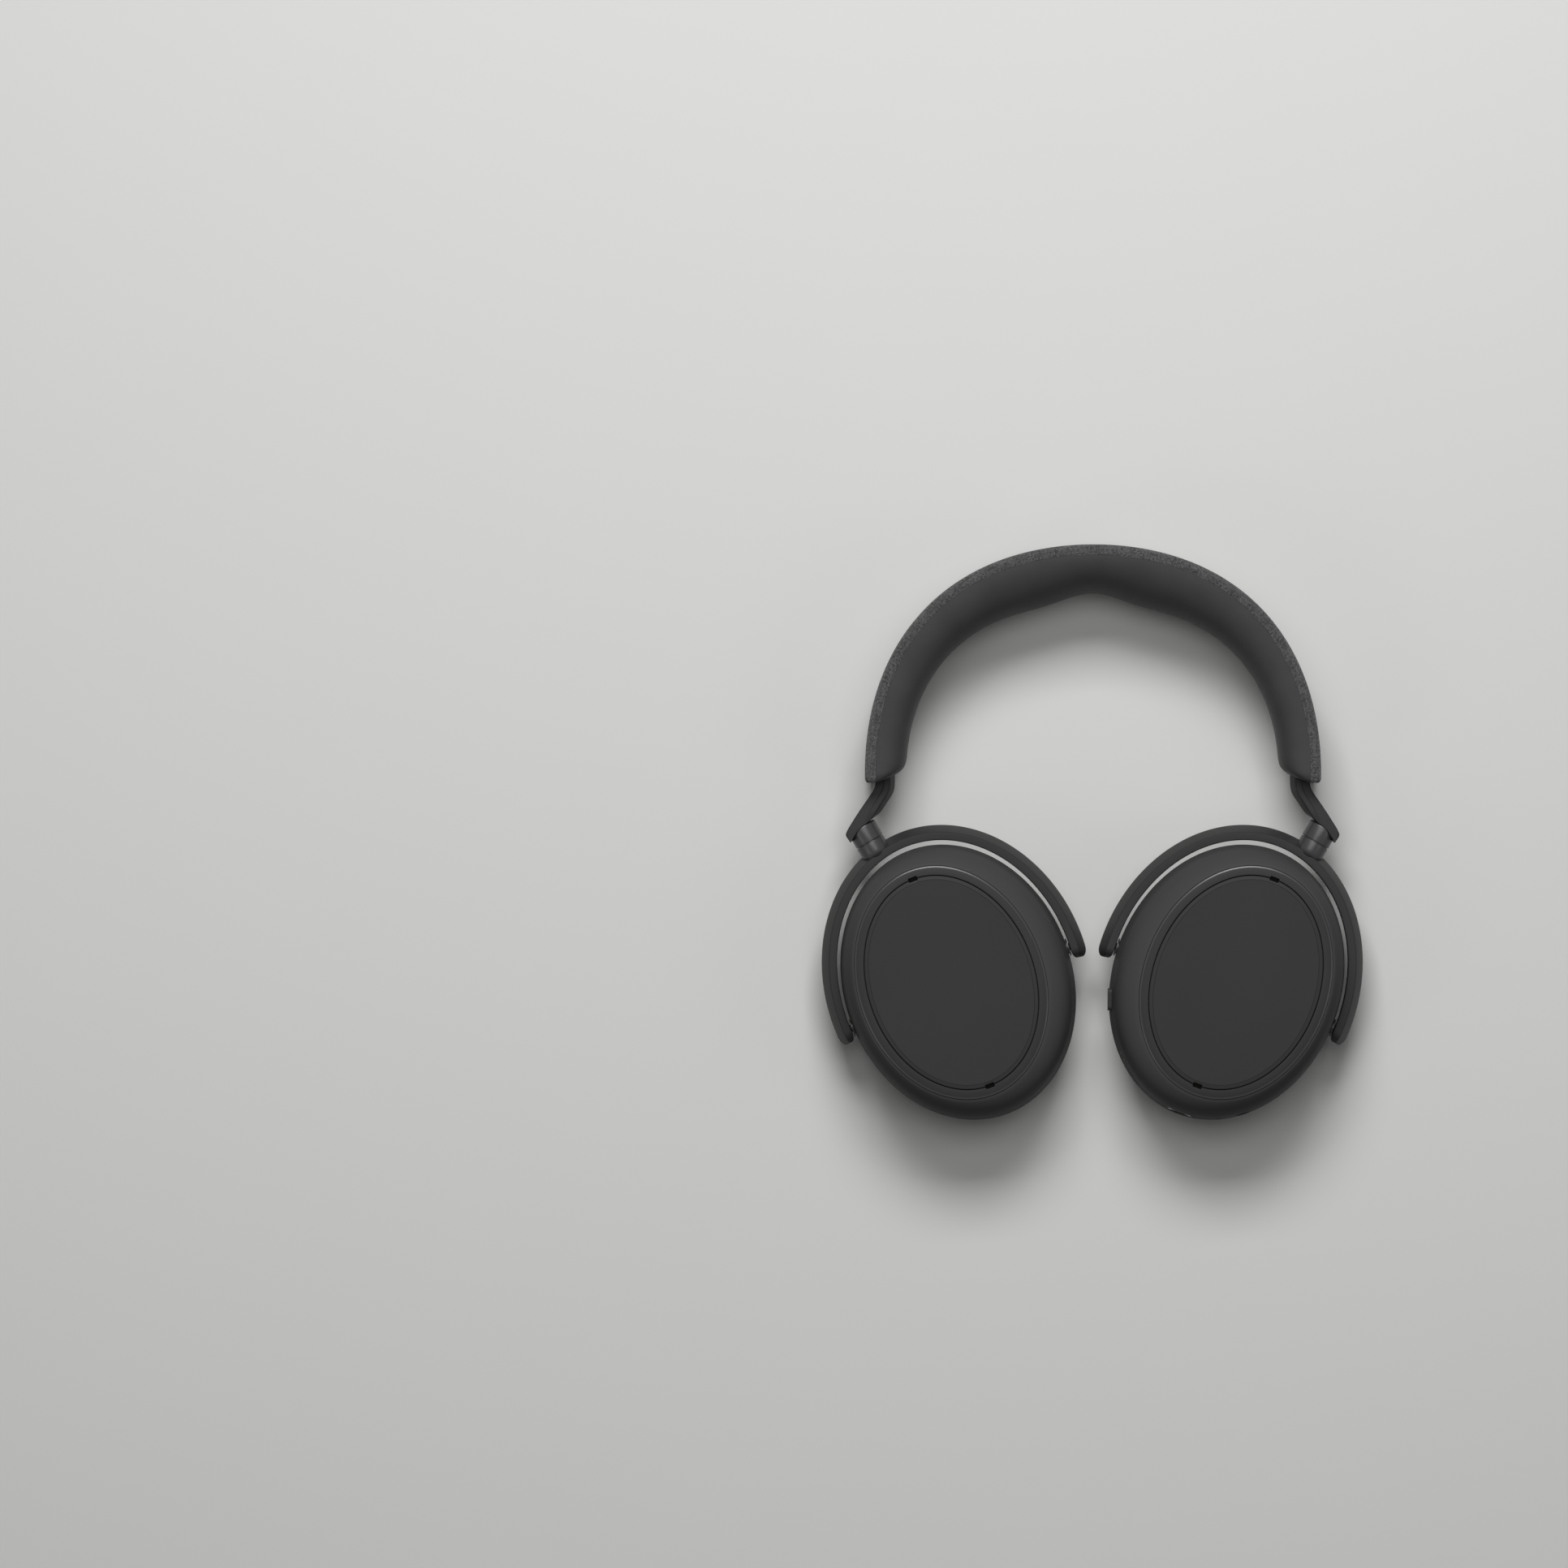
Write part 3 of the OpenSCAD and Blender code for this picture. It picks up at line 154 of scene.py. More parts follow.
class HeadsetStageSettings(bpy.types.PropertyGroup):
    """Camera, lights and the tone of the room."""

    view_x: length("View centre X", "Point that the camera looks down on, left to right", -103.1 * MM)
    view_y: length("View centre Y", "Point that the camera looks down on, bottom to top", 16.2 * MM)
    view_width: length("View width", "Width of the view on the level of the cups' plates", 522 * MM)
    light_level: bpy.props.FloatProperty(name="Light level", description="Power of the main soft box",
                                         default=15.5, unit="POWER")
    ambient: bpy.props.FloatProperty(name="Ambient light", description="Strength of the even light",
                                     default=0.05)
    backdrop: bpy.props.FloatProperty(name="Backdrop", description="Pale tone of the room where it is seen",
                                      default=0.55)
    lens: bpy.props.FloatProperty(name="Lens", description="Focal length of the camera", default=350,
                                  unit="CAMERA")


# ---------------------------------------------------------------- surfaces

def mirrored(points, side):
    """Points of the right-hand side, or their mirror image in the plane x = 0 for the left."""
    return points * np.array([side, 1, 1])


def leaned(points, lean):
    """Points turned clockwise about the Z axis by the lean, in radians."""
    x, y, z = np.moveaxis(points, -1, 0)
    sine, cosine = math.sin(lean), math.cos(lean)
    return np.stack([x * cosine + y * sine, y * cosine - x * sine, z], -1)


def on_cup(points, side):
    """Points of a cup, given about its plate's centre with Y up the long axis, put in their place."""
    return mirrored(leaned(points, CUP_LEAN) + CUP_CENTRE, side)


def on_swivel(points, side):
    """Points given across, up and square to the swivel axis, from the plate's centre, in their place."""
    return mirrored(leaned(points, SWIVEL_LEAN) + CUP_CENTRE, side)


def band_centre_y(sizes):
    """Height up the view of the point that the band curves round."""
    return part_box("band_cover")[1].y - sizes.band_radius


def on_band(points, sizes):
    """Points given about the band's centre, put in their place."""
    return points + np.array([0, band_centre_y(sizes), AXIS_HEIGHT])


def soft_corners(corners, reach, steps=5, most=math.inf):
    """Closed outlines in which each corner is a parabolic arc. It starts and ends a reach away from the
    corner, or at most the given share of the side's length."""
    corners = np.asarray(corners, float)
    reach = np.broadcast_to(np.asarray(reach, float), corners.shape[-2])[:, None]
    ends = []
    for neighbour in (1, -1):
        side = np.roll(corners, neighbour, axis=-2) - corners
        span = np.maximum(np.linalg.norm(side, axis=-1, keepdims=True), TINY)
        ends.append((corners + np.minimum(reach, most * span) * side / span)[..., None, :])
    s = np.linspace(0, 1, steps)[:, None]
    arcs = (1 - s) ** 2 * ends[0] + 2 * s * (1 - s) * corners[..., None, :] + s ** 2 * ends[1]
    return arcs.reshape(*corners.shape[:-2], -1, corners.shape[-1])


def smooth_line(points, count):
    """Uniform cubic B-spline over the points, with its ends held on the first and the last."""
    points = np.asarray(points, float)
    points = np.concatenate([points[:1], points[:1], points, points[-1:], points[-1:]])
    place = np.linspace(0, len(points) - 3 - TINY, count)
    first = place.astype(int)
    u = (place - first)[:, None]
    return ((1 - u) ** 3 * points[first] + (3 * u ** 3 - 6 * u ** 2 + 4) * points[first + 1]
            + (-3 * u ** 3 + 3 * u ** 2 + 3 * u + 1) * points[first + 2] + u ** 3 * points[first + 3]) / 6


def smooth_step(x, low, high):
    """0 below low, 1 above high, and a cubic between them."""
    u = np.clip((x - low) / (high - low), 0, 1)
    return u * u * (3 - 2 * u)


FINE_STEPS = 40000  # steps of the circle when turns are spread over it


def dense_turns(count, spots=(), closer=7):
    """Turns round a full circle, so many times closer over each spot: a turn and half a width."""
    fine = np.linspace(0, 2 * math.pi, FINE_STEPS + 1)
    weight = np.ones(len(fine))
    for turn, half in spots:
        away = np.abs((fine - turn + math.pi) % (2 * math.pi) - math.pi)
        weight = np.where(away < half, closer, weight)
    total = np.concatenate([[0], np.cumsum(weight[1:])])
    return np.interp(np.arange(count) / count, total / total[-1], fine)


class Surface:
    """Points, faces and weave coordinates gathered from closed grids."""

    def __init__(self):
        self.points = np.zeros((0, 3))
        self.places = np.zeros((0, 2))
        self.faces = []

    def add(self, grid, ring_rows=False, places=None):
        """Adds a grid of rows of closed rings. Its rows close on each other, or end in two flat faces.
        Its faces are turned outwards, by the sign of the volume that they hold."""
        rows, columns = grid.shape[:2]
        points = grid.reshape(-1, 3)
        i, j = np.meshgrid(np.arange(rows if ring_rows else rows - 1), np.arange(columns), indexing="ij")
        i2, j2 = (i + 1) % rows, (j + 1) % columns
        quads = np.stack([i * columns + j, i * columns + j2, i2 * columns + j2, i2 * columns + j], -1)
        quads = quads.reshape(-1, 4)
        caps = [] if ring_rows else [np.arange(columns)[::-1], (rows - 1) * columns + np.arange(columns)]
        fans = [np.stack([np.full(len(cap) - 2, cap[0]), cap[1:-1], cap[2:]], -1) for cap in caps]
        corners = points[np.concatenate([quads[:, [0, 1, 2]], quads[:, [0, 2, 3]]] + fans)]
        volume = np.einsum("ij,ij->", corners[:, 0], np.cross(corners[:, 1], corners[:, 2]))
        turn = 1 if volume > 0 else -1
        start = len(self.points)
        self.faces += [(face[::turn] + start).tolist() for face in [*quads, *caps]]
        self.points = np.concatenate([self.points, points])
        flat = np.zeros((len(points), 2)) if places is None else places.reshape(-1, 2)
        self.places = np.concatenate([self.places, flat])
        return self

    def piece(self, name, body, slot, material, node, sharp=35):
        """A finished Blender object in place of a CAD node, smooth but for edges sharper than the angle
        in degrees."""
        mesh = bpy.data.meshes.new(name)
        mesh.from_pydata(self.points.tolist(), [], self.faces)
        layer = mesh.uv_layers.new(name="weave")
        corner_points = np.zeros(len(mesh.loops), int)
        mesh.loops.foreach_get("vertex_index", corner_points)
        layer.data.foreach_set("uv", self.places[corner_points].ravel())
        mesh.shade_smooth()
        mesh.set_sharp_from_angle(angle=math.radians(sharp))
        mesh.materials.append(material)
        piece = bpy.data.objects.new(name, mesh)
        bpy.context.scene.collection.objects.link(piece)
        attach(piece, body)
        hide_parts(node)
        return piece


def finish_faces(piece, first, last, material):
    """Gives the faces of a piece from the first up to the last a second material."""
    piece.data.materials.append(material)
    finish = np.zeros(len(piece.data.polygons), int)
    finish[first:last] = 1
    piece.data.polygons.foreach_set("material_index", finish)


def ellipse_rings(a, b, heights, turns, centre=(0, 0)):
    """One row for each height: the ellipse with that row's half length a and half breadth b."""
    a, b, heights = (np.asarray(v, float)[:, None] for v in (a, b, heights))
    centre = np.broadcast_to(np.asarray(centre, float), (len(a), 2))
    x = centre[:, :1] + b * np.cos(turns)
    y = centre[:, 1:] + a * np.sin(turns)
    return np.stack([x, y, np.broadcast_to(heights, x.shape)], -1)


def lathe(profile, count=96):
    """A profile of radius and place, turned about the swivel axis; each end of it is on the axis."""
    turns = np.linspace(0, 2 * math.pi, count, endpoint=False)
    radius, place = np.asarray(profile, float).T
    x = radius[:, None] * np.cos(turns)
    z = radius[:, None] * np.sin(turns)
    return np.stack([x, np.broadcast_to(place[:, None], x.shape), z], -1)


# ---------------------------------------------------------------- materials

# Base colours of the parts that keep their own shape
INNER_COLOURS = {
    "steel": hex_colour("B4B5B7"), "mic_metal": hex_colour("131211"), "battery_foil": hex_colour("C2C3C5"),
    "magnet": hex_colour("A9AAAD"), "nylon": hex_colour("2C2C2E"), "ribbon": hex_colour("B4661A"),
    "circuit_board": hex_colour("1B5A33"), "film": hex_colour("CDBB87"), "mesh_cloth": hex_colour("161617"),
    "light_pipe": hex_colour("E6E6E1"), "black_oxide": hex_colour("262627"),
}


def add_node(tree, kind, inputs=None, **settings):
    """Adds a node with its settings. Each input is a value, or what it is linked to: a socket, or a node
    whose first output is meant."""
    node = tree.nodes.new(kind)
    for name, value in settings.items():
        setattr(node, name, value)
    for key, value in (inputs or {}).items():
        if isinstance(value, bpy.types.Node):
            tree.links.new(value.outputs[0], node.inputs[key])
        elif isinstance(value, bpy.types.NodeSocket):
            tree.links.new(value, node.inputs[key])
        else:
            node.inputs[key].default_value = value
    return node


def new_material(name, sockets=None):
    """An empty node material with its shader linked to its output, as (material, tree, shader). The
    sockets are the shader's values that are the same all over."""
    material = bpy.data.materials.new(name)
    material.use_nodes = True
    tree = material.node_tree
    tree.nodes.clear()
    shader = add_node(tree, "ShaderNodeBsdfPrincipled", sockets)
    add_node(tree, "ShaderNodeOutputMaterial", {"Surface": shader})
    return material, tree, shader


def shaded(values, factor=1):
    """A colour times a factor, with full alpha."""
    return (*[c * factor for c in values[:3]], 1)


def patterned(tree, shader, amount, dark, light, height, rise, strength=1.0):
    """Finishes a shader from two patterns: its colour goes from dark to light as the amount goes from 0
    to 1, and its surface rises where the height does, by the rise where that is 1."""
    tint = add_node(tree, "ShaderNodeMix", {"Factor": amount, "A": dark, "B": light}, data_type="RGBA")
    tree.links.new(tint.outputs["Result"], shader.inputs["Base Color"])
    bump = add_node(tree, "ShaderNodeBump", {"Height": height, "Distance": rise, "Strength": strength})
    tree.links.new(bump.outputs[0], shader.inputs["Normal"])


COARSE = 30 * MM  # size of the slow change of shade in a moulding


def grained(name, base, grain, change, roughness, rise, sockets=None):
    """A material with a fine grain: its colour, roughness and height all follow one noise, and a coarse
    noise adds the slow change of shade that a large moulding has. The change is the colour's, as a share."""
    material, tree, shader = new_material(name, sockets)
    place = add_node(tree, "ShaderNodeTexCoord").outputs["Object"]
    fine = add_node(tree, "ShaderNodeTexNoise",
                    {"Vector": place, "Scale": 1 / grain, "Detail": 3, "Roughness": 0.6})
    slow = add_node(tree, "ShaderNodeTexNoise", {"Vector": place, "Scale": 1 / COARSE, "Detail": 1})
    both = add_node(tree, "ShaderNodeMath", {0: fine, 1: slow}, operation="ADD")
    amount = add_node(tree, "ShaderNodeMapRange", {"Value": both, "From Min": 0.6, "From Max": 1.4})
    rough = add_node(tree, "ShaderNodeMapRange",
                     {"Value": fine, "From Min": 0.3, "From Max": 0.7,
                      "To Min": roughness - 0.04, "To Max": roughness + 0.04})
    tree.links.new(rough.outputs[0], shader.inputs["Roughness"])
    patterned(tree, shader, amount, shaded(base, 1 - change), shaded(base, 1 + change), fine, rise)
    return material


def satin_plastic(colours):
    """Polycarbonate moulding with a sprayed satin coat: an even, soft sheen over a pearl-fine grain."""
    return grained("sprayed_satin_polycarbonate", colours.satin, grain=0.35 * MM, change=0.07,
                   roughness=0.42, rise=0.006 * MM, sockets={"Specular IOR Level": 0.1})


def buffed_plastic(colours):
    """The same moulding, buffed: a chamfer draws a thin bright line, and a drum two soft bright bands."""
    return grained("buffed_satin_polycarbonate", colours.satin, grain=0.35 * MM, change=0.05,
                   roughness=0.3, rise=0.002 * MM)


def housing_plastic(colours):
    """Smooth moulded ABS with a soft-touch coat: deep tone, and a matt glow that fades round its curve."""
    return grained("soft_coated_abs", colours.housing, grain=0.5 * MM, change=0.05, roughness=0.5,
                   rise=0.004 * MM, sockets={"Specular IOR Level": 0.03})


def inner_plastic(colours):
    """Glass-filled nylon as moulded: dull, nearly black, with a sparked grain."""
    return grained("spark_textured_glass_nylon", colours.inner, grain=0.4 * MM, change=0.12,
                   roughness=0.6, rise=0.02 * MM)


def black_acetal():
    """Acetal as moulded: dark and even, with a waxy gloss on a faint grain."""
    return grained("black_moulded_acetal", INNER_COLOURS["nylon"], grain=0.4 * MM, change=0.06,
                   roughness=0.4, rise=0.01 * MM)


def light_pipe():
    """Frosted polycarbonate: milky, and light passes through it."""
    return grained("frosted_polycarbonate", INNER_COLOURS["light_pipe"], grain=0.3 * MM, change=0.06,
                   roughness=0.35, rise=0.01 * MM, sockets={"Transmission Weight": 0.6})


def leatherette(colours):
    """Polyurethane-coated cloth, embossed: fine pebbles with pores, a soft sheen at grazing angles."""
    material, tree, shader = new_material("embossed_leatherette", {
        "Specular IOR Level": 0.2, "Sheen Weight": 0.04, "Sheen Roughness": 0.4})
    place = add_node(tree, "ShaderNodeTexCoord").outputs["Object"]
    # The pebbles are 0.7 mm wide: the real ones, about 0.4 mm, would be too fine to show
    pebbles = add_node(tree, "ShaderNodeTexVoronoi",
                       {"Vector": place, "Scale": 1 / (0.7 * MM), "Smoothness": 0.6}, feature="SMOOTH_F1")
    slow = add_node(tree, "ShaderNodeTexNoise", {"Vector": place, "Scale": 1 / (9 * MM), "Detail": 3})
    height = add_node(tree, "ShaderNodeMath", {0: 1.0, 1: pebbles.outputs["Distance"]},
                      operation="SUBTRACT")
    amount = add_node(tree, "ShaderNodeMapRange", {"Value": slow, "From Min": 0.3, "From Max": 0.7})
    rough = add_node(tree, "ShaderNodeMapRange",
                     {"Value": height, "From Min": 0.4, "From Max": 1.0,
                      "To Min": 0.62, "To Max": 0.5})
    tree.links.new(rough.outputs[0], shader.inputs["Roughness"])
    patterned(tree, shader, amount, shaded(colours.leatherette, 0.93),
              shaded(colours.leatherette, 1.07), height, 0.05 * MM, 0.35)
    return material


def woven_cloth(colours, sizes):
    """Melange polyester in a two-and-two twill: light and dark yarns, raised where they cross over."""
    material, tree, shader = new_material("melange_twill_polyester", {
        "Roughness": 0.75, "Sheen Weight": 0.25, "Sheen Roughness": 0.45})
    place = add_node(tree, "ShaderNodeUVMap", uv_map="weave").outputs[0]
    threads = add_node(tree, "ShaderNodeVectorMath", {0: place, "Scale": 1 / sizes.thread},
                       operation="SCALE")
    parts = add_node(tree, "ShaderNodeSeparateXYZ", {0: threads})
    column = add_node(tree, "ShaderNodeMath", {0: parts}, operation="FLOOR")
    row = add_node(tree, "ShaderNodeMath", {0: parts.outputs[1]}, operation="FLOOR")
    order = add_node(tree, "ShaderNodeMath", {0: column, 1: row}, operation="ADD")
    phase = add_node(tree, "ShaderNodeMath", {0: order, 1: 4.0}, operation="FLOORED_MODULO")
    over = add_node(tree, "ShaderNodeMath", {0: phase, 1: 1.5}, operation="LESS_THAN")
    # Each yarn is round: high along its middle, low at its two edges
    across = add_node(tree, "ShaderNodeMix", {"Factor": over, 2: parts.outputs[1],
                                              3: parts}, data_type="FLOAT")
    inside = add_node(tree, "ShaderNodeMath", {0: across}, operation="FRACT")
    swing = add_node(tree, "ShaderNodeMath", {0: inside, 1: math.pi}, operation="MULTIPLY")
    height = add_node(tree, "ShaderNodeMath", {0: swing}, operation="SINE")
    # Each yarn has its own shade, which drifts slowly along it
    weft_plane = 7.0  # of the noise, well away from the warp's
    along_warp = add_node(tree, "ShaderNodeCombineXYZ", {0: column, 1: over})
    along_weft = add_node(tree, "ShaderNodeCombineXYZ", {0: over, 1: row, 2: weft_plane})
    own = add_node(tree, "ShaderNodeMix", {"Factor": over, "A": along_weft,
                                           "B": along_warp}, data_type="VECTOR")
    drift = add_node(tree, "ShaderNodeVectorMath", {0: threads, "Scale": 0.12}, operation="SCALE")
    lookup = add_node(tree, "ShaderNodeVectorMath", {0: own.outputs[1], 1: drift})
    shade = add_node(tree, "ShaderNodeTexNoise", {"Vector": lookup, "Scale": 0.9, "Detail": 2})
    fibre = add_node(tree, "ShaderNodeTexNoise", {"Vector": threads, "Scale": 3.0, "Detail": 3})
    blend = add_node(tree, "ShaderNodeMath", {0: shade, 1: fibre}, operation="ADD")
    amount = add_node(tree, "ShaderNodeMapRange", {"Value": blend, "From Min": 0.78, "From Max": 1.22})
    tint = add_node(tree, "ShaderNodeMix", {"Factor": amount, "A": shaded(colours.cloth_dark),
                                            "B": shaded(colours.cloth_light)}, data_type="RGBA")
    # Painted shade: each yarn's colour darkens to a fifth towards its two low edges, in the crevices between the
    # yarns
    shadow = add_node(tree, "ShaderNodeMapRange",
                      {"Value": height, "From Min": 0.0, "From Max": 0.7,
                       "To Min": 0.2, "To Max": 1.0})
    yarns_with_painted_shade = add_node(tree, "ShaderNodeMix",
                    {"Factor": 1.0, "A": tint.outputs["Result"], "B": shadow},
                    data_type="RGBA", blend_type="MULTIPLY")
    tree.links.new(yarns_with_painted_shade.outputs["Result"], shader.inputs["Base Color"])
    bump = add_node(tree, "ShaderNodeBump", {"Height": height, "Distance": 0.12 * MM})
    tree.links.new(bump.outputs[0], shader.inputs["Normal"])
    return material


def brushed_metal(name, base, streak, roughness):
    """Metal brushed or drawn in one direction: fine streaks along X that spread each highlight."""
    material, tree, shader = new_material(name, {"Metallic": 1})
    place = add_node(tree, "ShaderNodeTexCoord").outputs["Object"]
    stretch = 14  # a streak's length over its width
    drawn = add_node(tree, "ShaderNodeVectorMath", {0: place, 1: (1, stretch, stretch)},
                     operation="MULTIPLY")
    streaks = add_node(tree, "ShaderNodeTexNoise", {"Vector": drawn, "Scale": 1 / streak, "Detail": 3})
    stain = add_node(tree, "ShaderNodeTexNoise", {"Vector": place, "Scale": 1 / (6 * MM), "Detail": 2})
    rough = add_node(tree, "ShaderNodeMapRange",
                     {"Value": streaks, "From Min": 0.3, "From Max": 0.7,
                      "To Min": roughness - 0.08, "To Max": roughness + 0.08})
    tree.links.new(rough.outputs[0], shader.inputs["Roughness"])
    patterned(tree, shader, stain, shaded(base, 0.85), shaded(base), streaks, 0.004 * MM)
    return material


def brushed_steel():
    """Spring steel brushed across its length."""
    return brushed_metal("brushed_stainless_steel", INNER_COLOURS["steel"], streak=0.5 * MM, roughness=0.3)


def blackened_steel():
    """Turned steel pin with a black oxide coat: dark, with a dull gleam along its length."""
    return brushed_metal("black_oxide_turned_steel", INNER_COLOURS["black_oxide"], streak=0.3 * MM,
                         roughness=0.45)


def flat_ribbon():
    """Polyimide film over copper tracks: amber stripes 0.41 mm apart, glossy."""
    material, tree, shader = new_material("laminated_polyimide_ribbon", {"Roughness": 0.25})
    base = INNER_COLOURS["ribbon"]
    place = add_node(tree, "ShaderNodeTexCoord").outputs["Object"]
    pitch = 0.4147 * MM  # of the tracks
    # At a scale of 1 the bands of a wave texture are 2 pi / 20 apart
    tracks = add_node(tree, "ShaderNodeTexWave", {"Vector": place, "Scale": math.tau / 20 / pitch},
                      bands_direction="Z")
    mottle = add_node(tree, "ShaderNodeTexNoise", {"Vector": place, "Scale": 1 / (3 * MM), "Detail": 2})
    both = add_node(tree, "ShaderNodeMath", {0: tracks.outputs[1], 1: mottle}, operation="MULTIPLY")
    patterned(tree, shader, both, shaded(base, 0.7), shaded(base, 1.4), tracks.outputs[1], 0.03 * MM)
    return material


def solder_masked_board():
    """Epoxy board under green solder mask: darker and lighter patches where copper lies below it."""
    material, tree, shader = new_material("solder_masked_epoxy_board", {"Roughness": 0.3})
    base = INNER_COLOURS["circuit_board"]
    place = add_node(tree, "ShaderNodeTexCoord").outputs["Object"]
    copper = add_node(tree, "ShaderNodeTexVoronoi", {"Vector": place, "Scale": 1 / (1.6 * MM)},
                      feature="F1", distance="MANHATTAN")
    weave = add_node(tree, "ShaderNodeTexNoise", {"Vector": place, "Scale": 1 / (0.3 * MM)})
    patterned(tree, shader, copper.outputs["Distance"], shaded(base, 1.35), shaded(base, 0.75),
              weave, 0.01 * MM)
    return material


def open_knit():
    """Black warp-knit cloth that lets sound through: rows of round openings 1.1 mm apart, which are a
    little wider than the real ones so that they show."""
    material, tree, shader = new_material("warp_knit_acoustic_mesh", {"Roughness": 0.85,
                                                                      "Sheen Weight": 0.3})
    base = INNER_COLOURS["mesh_cloth"]
    place = add_node(tree, "ShaderNodeTexCoord").outputs["Object"]
    cells = add_node(tree, "ShaderNodeTexVoronoi",
                     {"Vector": place, "Scale": 1 / (1.1 * MM), "Randomness": 0.25}, feature="F1",
                     voronoi_dimensions="2D")
    yarn = add_node(tree, "ShaderNodeMapRange",
                    {"Value": cells.outputs["Distance"], "From Min": 0.2, "From Max": 0.45})
    fuzz = add_node(tree, "ShaderNodeTexNoise", {"Vector": place, "Scale": 1 / (0.2 * MM)})
    shade = add_node(tree, "ShaderNodeMath", {0: yarn, 1: fuzz}, operation="MULTIPLY")
    patterned(tree, shader, shade, shaded(base, 0.3), shaded(base, 4.0), yarn, 0.15 * MM)
    return material


def diaphragm_film():
    """Pressed polyester film, a twentieth of a millimetre thick: pale, glossy, with fine ripples."""
    material, tree, shader = new_material("pressed_polyester_film", {"Roughness": 0.2,
                                                                     "Transmission Weight": 0.35})
    base = INNER_COLOURS["film"]
    place = add_node(tree, "ShaderNodeTexCoord").outputs["Object"]
    ripple = add_node(tree, "ShaderNodeTexNoise", {"Vector": place, "Scale": 1 / (1.2 * MM), "Detail": 1})
    patterned(tree, shader, ripple, shaded(base, 0.85), shaded(base, 1.1), ripple, 0.03 * MM)
    return material


MADE = {}  # materials that several pieces share, by maker


def shared_material(maker, *arguments):
    """The material that a maker gives, made the first time that it is asked for."""
    if maker not in MADE:
        MADE[maker] = maker(*arguments)
    return MADE[maker]


def microphone_metal():
    """Sintered bronze, blackened: dark, with the fine sparkle of its grains."""
    return brushed_metal("sintered_bronze", INNER_COLOURS["mic_metal"], streak=0.2 * MM, roughness=0.5)


def battery_foil():
    """Aluminium foil, crimped round a flat cell: bright, with broad soft streaks."""
    return brushed_metal("crimped_aluminium_foil", INNER_COLOURS["battery_foil"], streak=2 * MM,
                         roughness=0.25)


def magnet_plating():
    """Nickel plating on a ground magnet: bright and a little warm, with fine grinding marks."""
    return brushed_metal("nickel_plated_magnet", INNER_COLOURS["magnet"], streak=0.8 * MM, roughness=0.2)


def inner_materials(colours):
    """One material for each slot of the parts that keep their own shape."""
    coloured = {"inner_plastic": inner_plastic, "satin_plastic": satin_plastic}
    plain = {"steel": brushed_steel, "mic_metal": microphone_metal, "battery_foil": battery_foil,
             "magnet": magnet_plating, "nylon": black_acetal, "light_pipe": light_pipe,
             "ribbon": flat_ribbon, "circuit_board": solder_masked_board, "mesh_cloth": open_knit,
             "film": diaphragm_film}
    return ({slot: shared_material(maker, colours) for slot, maker in coloured.items()}
            | {slot: shared_material(maker) for slot, maker in plain.items()})


# ---------------------------------------------------------------- band

BAND_END = math.radians(92.6)  # turn of the band's ends from the crown
FLAT_START = math.radians(84)  # turn at which the flat of its end faces starts
CLOSE_TURN = math.radians(6)  # stretch at each end with closer rings
RELIEF_TURN = math.radians(12)  # spread of the pad's relief at the crown
PAD_END_CUT = 0.58  # share of its thickness that the pad loses at its ends


def band_radius(turn, sizes):
    """Outer radius at a turn from the crown: a circle that bulges at its two shoulders."""
    return sizes.band_radius + sizes.band_bulge * np.sin(2 * turn) ** 2


def band_half(turn, sizes):
    """Half the band's width at a turn: widest at the crown, by a squared cosine."""
    wide = np.cos(np.minimum(np.abs(turn), math.pi / 2)) ** 2
    return (sizes.band_end_width + (sizes.band_width - sizes.band_end_width) * wide) / 2


def pad_depth(turn, sizes):
    """Depth of the band with its pad: it rises to the crown by a squared cosine, less a bell-shaped
    relief there."""
    relief = sizes.pad_notch * np.exp(-(turn / RELIEF_TURN) ** 2)
    return sizes.pad_end_depth + sizes.pad_rise * np.cos(turn) ** 2 - relief


def band_points(turn, depth, z, sizes):
    """Points of the band from turn, depth below its outer face and height; its end faces are flat."""
    radius = band_radius(turn, sizes) - depth
    end_y = -sizes.band_radius * math.sin(BAND_END - math.pi / 2)
    flat = smooth_step(np.abs(turn), FLAT_START, BAND_END)
    leftover = end_y - radius * math.cos(BAND_END)
    x = radius * np.sin(turn)
    y = radius * np.cos(turn) + flat * leftover
    return on_band(np.stack(np.broadcast_arrays(x, y, z), -1), sizes)


def band_turns(count, end_rings=12):
    """Turns along the band, evenly spaced, with closer rings over the last stretch at each end."""
    last = BAND_END - CLOSE_TURN
    close = CLOSE_TURN * np.sin(np.linspace(0, math.pi / 2, end_rings))[1:]
    return np.concatenate([-last - close[::-1], np.linspace(-last, last, count), last + close])


def to_end(turn, sizes):
    """Distance along the band from a turn to its end."""
    return (BAND_END - np.abs(turn)) * sizes.band_radius


def end_shrink(turn, reach, sizes):
    """1 along the band, falling by a quarter circle to 0 over the last reach of its length."""
    u = np.clip(1 - to_end(turn, sizes) / reach, 0, 1)
    return np.sqrt(1 - u * u)


